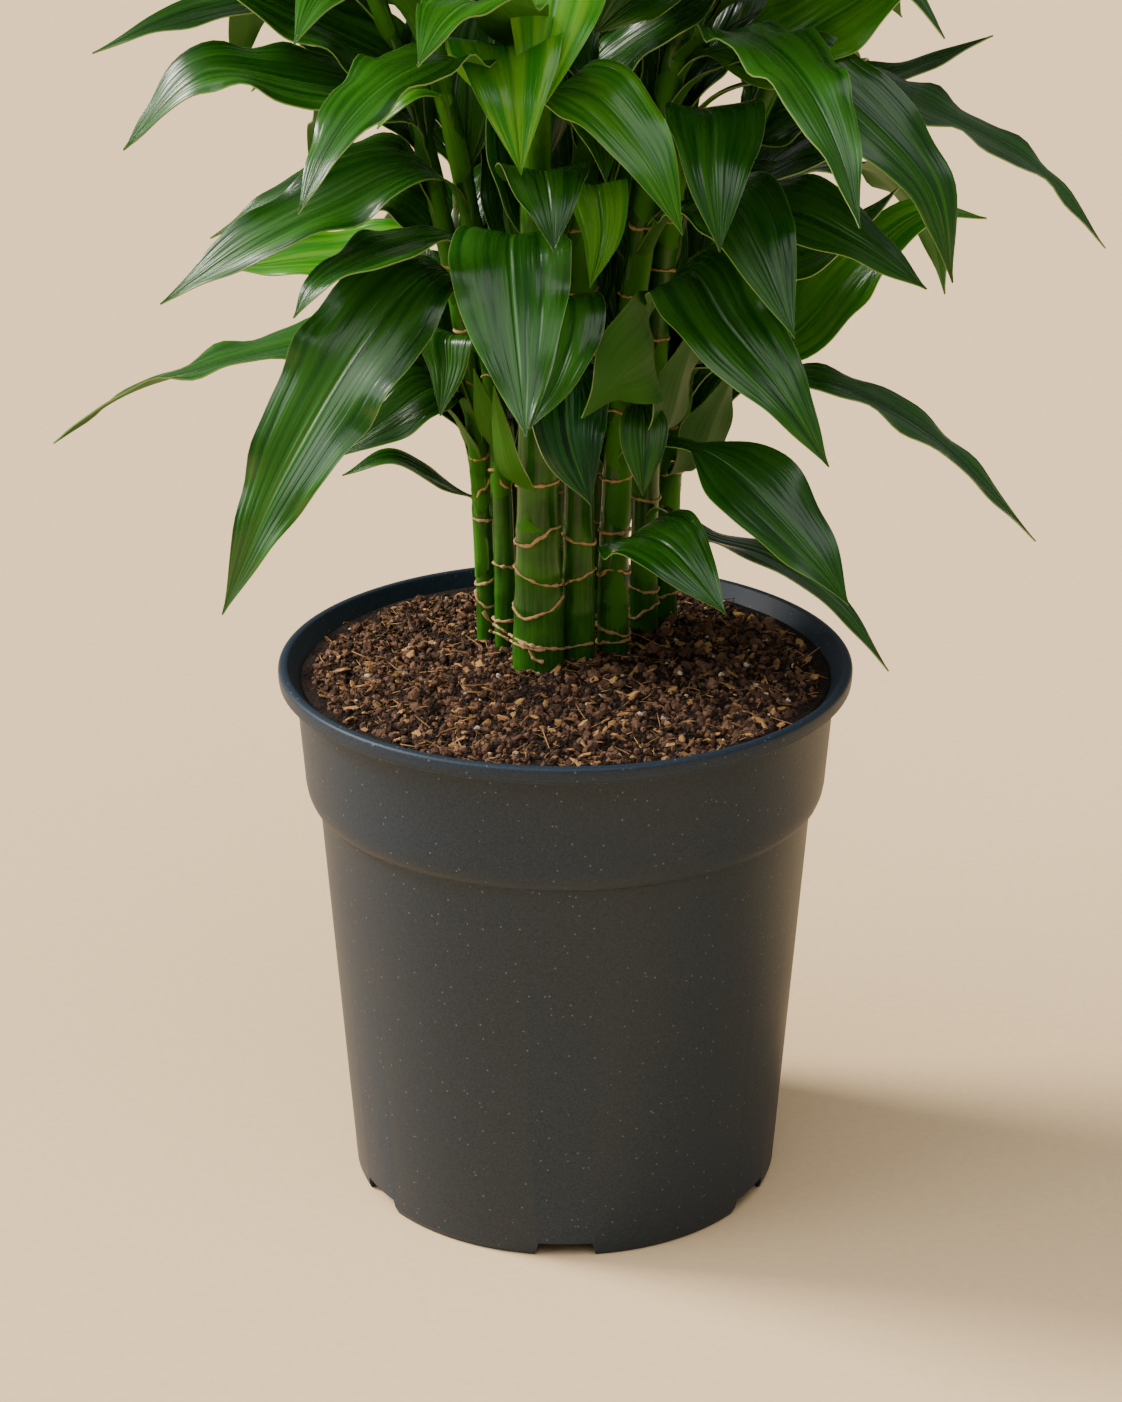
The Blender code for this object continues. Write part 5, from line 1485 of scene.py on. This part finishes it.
perlite, tree, shader = new_material("expanded_perlite", 0.8, 0.3)
place = add_node(tree, "ShaderNodeTexCoord").outputs["Object"]
pores = add_node(tree, "ShaderNodeTexNoise", {"Vector": place, "Scale": 1 / PERLITE_PORES, "Detail": 2.0})
pale = add_node(tree, "ShaderNodeMix", {0: pores.outputs["Fac"], 6: linear("#B59A78"), 7: linear("#EFE0C8")},
                data_type="RGBA")
tree.links.new(pale.outputs[2], shader.inputs["Base Color"])
bump = add_node(tree, "ShaderNodeBump", {"Height": pores.outputs["Fac"], "Strength": 0.6, "Distance": 0.0004})
tree.links.new(bump.outputs["Normal"], shader.inputs["Normal"])
print("bark and perlite grain:", BARK_GRAIN * 1000, "and", PERLITE_PORES * 1000, "mm")

# %% The height of the mound
SOIL_EDGE = 0.2290
SOIL_CROWN = 0.2352
SOIL_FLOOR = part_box("soil")[0][2]
SOIL_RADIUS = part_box("soil")[1][0]
SOIL_SIDES = 168
SOIL_RINGS = 60
SOIL_GAP = 0.0010  # air between the soil and the pot
SOIL_SINK = 0.0012  # the bare ground lies this much below the strewn crumbs
SOIL_LUMPS = ((0.0022, 55.0), (0.0022, 120.0), (0.0013, 300.0))  # height and how many to the metre


def soil_height(x, y):
    """Height of the mound, with its lumps."""
    share = min(1.0, math.hypot(x, y) / (COLLAR_RADIUS - WALL))
    mound = SOIL_EDGE + (SOIL_CROWN - SOIL_EDGE) * (0.5 + 0.5 * math.cos(math.pi * share ** 1.3))
    calm = 1.0 - ease(0.95, 1.01, share)
    lumps = sum(height * noise.noise(Vector((x, y, 0.0)) * often) for height, often in SOIL_LUMPS)
    return mound - SOIL_SINK + calm * lumps


def soil_corner(radius, side_number):
    """x and y of one corner of a ring."""
    turn = 2 * math.pi * side_number / SOIL_SIDES
    return radius * math.cos(turn), radius * math.sin(turn)


def soil_disc():
    """Points and faces of the mound's upper side: a middle point and rings round it."""
    vertices = [(0.0, 0.0, soil_height(0.0, 0.0))]
    for ring_number in range(1, SOIL_RINGS + 1):
        radius = (SOIL_RADIUS - SOIL_GAP) * ring_number / SOIL_RINGS
        for side_number in range(SOIL_SIDES):
            x, y = soil_corner(radius, side_number)
            vertices.append((x, y, soil_height(x, y)))
    faces = [(0, 1 + i, 1 + (i + 1) % SOIL_SIDES) for i in range(SOIL_SIDES)]
    for low in range(1, 1 + SOIL_SIDES * (SOIL_RINGS - 1), SOIL_SIDES):
        faces += [(low + i, low + SOIL_SIDES + i, low + SOIL_SIDES + (i + 1) % SOIL_SIDES,
                   low + (i + 1) % SOIL_SIDES) for i in range(SOIL_SIDES)]
    return vertices, faces


print("soil in the middle:", round(soil_height(0.0, 0.0) * 1000, 1), "mm high")

# %% Build the mound
vertices, faces = soil_disc()
top_faces = list(faces)
wall_radii = (
    (SHOULDER_RADIUS - WALL - SOIL_GAP, SHOULDER_TOP),
    (CREASE_RADIUS - WALL - SOIL_GAP, CREASE_HEIGHT + 0.002),
    (body_radius(SOIL_FLOOR + 0.006) - WALL - SOIL_GAP, SOIL_FLOOR + 0.006),
    (HUB_RADIUS, SOIL_FLOOR),
)
for radius, height in wall_radii:
    first = len(vertices)
    vertices += [(*soil_corner(radius, i), height) for i in range(SOIL_SIDES)]
    faces += [(first - SOIL_SIDES + i, first + i, first + (i + 1) % SOIL_SIDES,
               first - SOIL_SIDES + (i + 1) % SOIL_SIDES) for i in range(SOIL_SIDES)]
faces.append(tuple(reversed(range(len(vertices) - SOIL_SIDES, len(vertices)))))
mound = new_piece("soil_mound", vertices, faces, peat)
mound.data.shade_smooth()
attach(mound, "root")
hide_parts("soil")
print("mound:", triangles(mound), "triangles")

# %% A tree that strews pieces
strew_tree, given, result = new_geometry_tree("Strewn pieces", (
    ("Pieces", "NodeSocketCollection", None), ("Spacing", "NodeSocketFloat", 0.002),
    ("Density", "NodeSocketFloat", 100000.0), ("Smallest", "NodeSocketFloat", 0.5),
    ("Largest", "NodeSocketFloat", 1.0), ("Tilt", "NodeSocketFloat", math.pi),
    ("Seed", "NodeSocketInt", 0), ("Material", "NodeSocketMaterial", None)))
sown = add_node(strew_tree, "GeometryNodeDistributePointsOnFaces", {
    0: given.outputs["Geometry"], "Distance Min": given.outputs["Spacing"],
    "Density Max": given.outputs["Density"], "Seed": given.outputs["Seed"]}, distribute_method="POISSON")
kinds = add_node(strew_tree, "GeometryNodeCollectionInfo", {0: given.outputs["Pieces"], 1: True, 2: True})
tilt = given.outputs["Tilt"]
lowest = add_node(strew_tree, "ShaderNodeCombineXYZ", {
    "X": add_node(strew_tree, "ShaderNodeMath", {0: tilt, 1: -1.0}, operation="MULTIPLY").outputs[0],
    "Y": add_node(strew_tree, "ShaderNodeMath", {0: tilt, 1: -1.0}, operation="MULTIPLY").outputs[0],
    "Z": -math.pi})
highest = add_node(strew_tree, "ShaderNodeCombineXYZ", {"X": tilt, "Y": tilt, "Z": math.pi})
spin = add_node(strew_tree, "FunctionNodeRandomValue", {
    0: lowest.outputs[0], 1: highest.outputs[0], "Seed": given.outputs["Seed"]}, data_type="FLOAT_VECTOR")
size = add_node(strew_tree, "FunctionNodeRandomValue", {
    2: given.outputs["Smallest"], 3: given.outputs["Largest"], "Seed": given.outputs["Seed"]})
placed = add_node(strew_tree, "GeometryNodeInstanceOnPoints", {
    0: sown.outputs["Points"], "Instance": kinds.outputs[0], "Pick Instance": True,
    "Rotation": spin.outputs[0], "Scale": size.outputs[1]})
drawn_tone = add_node(strew_tree, "FunctionNodeRandomValue", {"Seed": given.outputs["Seed"]})
toned = add_node(strew_tree, "GeometryNodeStoreNamedAttribute", {
    0: placed.outputs[0], "Name": "tone", "Value": drawn_tone.outputs[1]}, domain="INSTANCE")
real = add_node(strew_tree, "GeometryNodeRealizeInstances", {0: toned.outputs[0]})
coated = add_node(strew_tree, "GeometryNodeSetMaterial", {0: real.outputs[0],
                                                          "Material": given.outputs["Material"]})
strew_tree.links.new(coated.outputs[0], result.inputs[0])
print("strewing tree:", len(strew_tree.nodes), "nodes")

# %% Shapes of the crumbs, chips and fibres
FIBRE_ROWS = 8
FIBRE_SIDES = 4


def shape_collection(name, meshes):
    """A hidden collection of small shapes for the strewing tree to pick from."""
    held = bpy.data.collections.new(name)
    for number, mesh in enumerate(meshes):
        held.objects.link(bpy.data.objects.new(f"{name}_{number + 1}", mesh))
    return held


def rough_ball(seed, size, squash, roundness):
    """A small lump: a ball of few faces, squashed and knocked out of round."""
    ball = bmesh.new()
    bmesh.ops.create_icosphere(ball, subdivisions=roundness, radius=size)
    for vertex in ball.verts:
        knock = 1.0 + 0.55 * noise.noise(vertex.co / size * 1.3 + Vector((seed * 7.0, 0.0, 0.0)))
        vertex.co = vertex.co * Vector(squash) * knock
    mesh = bpy.data.meshes.new(f"lump_{seed}")
    ball.to_mesh(mesh)
    ball.free()
    return mesh


def bent_fibre(seed, length, radius):
    """A short curved fibre with four sides and thin ends."""
    draw = random.Random(f"fibre {seed}")
    bend = draw.uniform(0.3, 1.5)
    twist = draw.uniform(-1.0, 1.0)
    rows = []
    for step in range(FIBRE_ROWS):
        t = step / (FIBRE_ROWS - 1)
        angle = bend * (t - 0.5)
        centre = length * Vector((t - 0.5, 0.25 * math.cos(angle * 2.0), 0.1 * twist * (t - 0.5)))
        rows.append((centre, radius * (0.35 + 0.65 * math.sin(math.pi * (0.08 + 0.84 * t)))))
    turns = [2 * math.pi * side / FIBRE_SIDES for side in range(FIBRE_SIDES)]
    points = [centre + Vector((0.0, math.cos(turn), math.sin(turn))) * size
              for centre, size in rows for turn in turns]
    faces = tube_faces(FIBRE_ROWS, FIBRE_SIDES)
    faces.append(tuple(reversed(range(FIBRE_SIDES))))
    faces.append(tuple(range(len(points) - FIBRE_SIDES, len(points))))
    mesh = bpy.data.meshes.new(f"fibre_{seed}")
    mesh.from_pydata(points, [], faces)
    return mesh


def lumps_of(name, seeds, size, squash, roundness):
    """A collection of lumps of one kind, one for each seed."""
    return shape_collection(name, [rough_ball(seed, size, squash, roundness) for seed in seeds])


clod_shapes = lumps_of("clods", range(30, 34), 0.0030, (1.0, 0.8, 0.6), 2)
crumb_shapes = lumps_of("crumbs", range(4), 0.0013, (1.0, 0.8, 0.7), 1)
chip_shapes = lumps_of("chips", range(10, 14), 0.0030, (1.5, 0.6, 0.3), 1)
grain_shapes = lumps_of("grains", range(20, 23), 0.0013, (1.0, 0.9, 0.8), 2)
fibre_shapes = shape_collection("fibres", [bent_fibre(seed, 0.012, 0.00026) for seed in range(5)])
long_shapes = shape_collection("long_fibres", [bent_fibre(seed, 0.030, 0.00042) for seed in range(9, 12)])

# %% Strew them over the mound
STREWN_RADIUS = SOIL_RADIUS - 0.0050


def strewn(name, shapes, material, values):
    """One plain mesh of pieces strewn over the mound's upper side."""
    kept = [face for face in top_faces
            if all(math.hypot(vertices[i][0], vertices[i][1]) < STREWN_RADIUS for i in face)]
    blank = new_piece(name + "_ground", vertices, kept, material)
    strew = blank.modifiers.new("Strew", "NODES")
    strew.node_group = strew_tree
    set_inputs(strew, {"Pieces": shapes, "Material": material, **values})
    piece = settle(blank, name)
    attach(piece, "root")
    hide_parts("soil")
    print(name, triangles(piece), "triangles")


strewn("peat_clods", clod_shapes, peat,
       {"Spacing": 0.0052, "Density": 22000.0, "Smallest": 0.5, "Largest": 1.2, "Seed": 2})
strewn("peat_crumbs", crumb_shapes, peat,
       {"Spacing": 0.0012, "Density": 340000.0, "Smallest": 0.4, "Largest": 1.5, "Seed": 3})
strewn("bark_chips", chip_shapes, bark,
       {"Spacing": 0.0034, "Density": 24000.0, "Smallest": 0.25, "Largest": 1.2, "Tilt": 0.7, "Seed": 5})
strewn("peat_fibres", fibre_shapes, bark,
       {"Spacing": 0.0026, "Density": 46000.0, "Smallest": 0.25, "Largest": 1.1, "Tilt": 0.5, "Seed": 7})
strewn("long_fibres", long_shapes, bark,
       {"Spacing": 0.0200, "Density": 900.0, "Smallest": 0.5, "Largest": 1.2, "Tilt": 0.12, "Seed": 19})
strewn("perlite_grains", grain_shapes, perlite,
       {"Spacing": 0.0085, "Density": 4200.0, "Smallest": 0.4, "Largest": 1.15, "Seed": 11})
for held in (clod_shapes, crumb_shapes, chip_shapes, grain_shapes, fibre_shapes, long_shapes):
    for thing in list(held.objects):
        bpy.data.objects.remove(thing)
    bpy.data.collections.remove(held)

# %% [markdown]
# ## Floor and light
#
# The plant stands on one wide sheet of pale beige paper, which fills the picture from the
# photograph's side. The light is soft and plain. A sun with a wide disc stands on the left
# and a little behind, as in the photograph, and throws the pot's soft shadow to the right.
# Two weaker and much wider ones, on the left and high in front, act as large windows, and
# they draw the silvery streaks on the leaves. Suns light a floor evenly, where a near lamp
# would not.

# %% Pale studio paper
STAGE_HALF = 8.0
PAPER_FIBRE = 0.004  # drawn coarser than the real 1 mm, which the camera can't resolve

paper, tree, shader = new_material("pale_studio_paper", 0.85, 0.2)
place = add_node(tree, "ShaderNodeTexCoord").outputs["Object"]
felt = add_node(tree, "ShaderNodeTexNoise", {"Vector": place, "Scale": 1 / PAPER_FIBRE, "Detail": 4.0})
sheet = add_node(tree, "ShaderNodeMix", {0: felt.outputs["Fac"], 6: linear("#F0CC9C"), 7: linear("#FBDCAE")},
                 data_type="RGBA")
tree.links.new(sheet.outputs[2], shader.inputs["Base Color"])
stage_corners = [(-STAGE_HALF, -STAGE_HALF), (STAGE_HALF, -STAGE_HALF), (STAGE_HALF, STAGE_HALF),
                 (-STAGE_HALF, STAGE_HALF)]
studio = new_piece("studio_floor", [(x, y, -0.0001) for x, y in stage_corners], [(0, 1, 2, 3)], paper)
studio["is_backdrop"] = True
print("floor:", 2 * STAGE_HALF, "m wide")

# %% Soft light
def soft_sun(name, azimuth, elevation, disc, strength, tint):
    """A sun in a direction, given in degrees, with a disc of so many degrees."""
    data = bpy.data.lights.new(name, "SUN")
    data.energy = strength
    data.angle = math.radians(disc)
    data.color = linear(tint)[:3]
    lamp = bpy.data.objects.new(name, data)
    flat = math.cos(math.radians(elevation))
    towards = Vector((flat * math.cos(math.radians(azimuth)), flat * math.sin(math.radians(azimuth)),
                      math.sin(math.radians(elevation))))
    lamp.rotation_euler = towards.to_track_quat("Z", "Y").to_euler()
    bpy.context.scene.collection.objects.link(lamp)


soft_sun("Left sun", 164.0, 40.0, 18.0, 4.4, "#FFF8EE")
soft_sun("Left window", 188.0, 34.0, 55.0, 2.0, "#FFFFFF")
soft_sun("High window", 278.0, 68.0, 60.0, 1.3, "#FFFFFF")
world = bpy.data.worlds.new("Pale room")
bpy.context.scene.world = world
world.use_nodes = True
room = world.node_tree.nodes["Background"]
room.inputs["Color"].default_value = linear("#F6F4F2")
room.inputs["Strength"].default_value = 0.24
print("lights:", [thing.name for thing in bpy.data.objects if thing.type == "LIGHT"])

# %% [markdown]
# ## Sizes
#
# The dressed plant has to keep to the frame's box, to within a fraction of a millimetre.

# %% Print the sizes and finish
visual_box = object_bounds()
boxes = {"cad": cad_box, "visual": visual_box}
{name: [list(corner) for corner in box] for name, box in boxes.items()}
print("CAD box:", cad_box)
print("visual box:", visual_box)
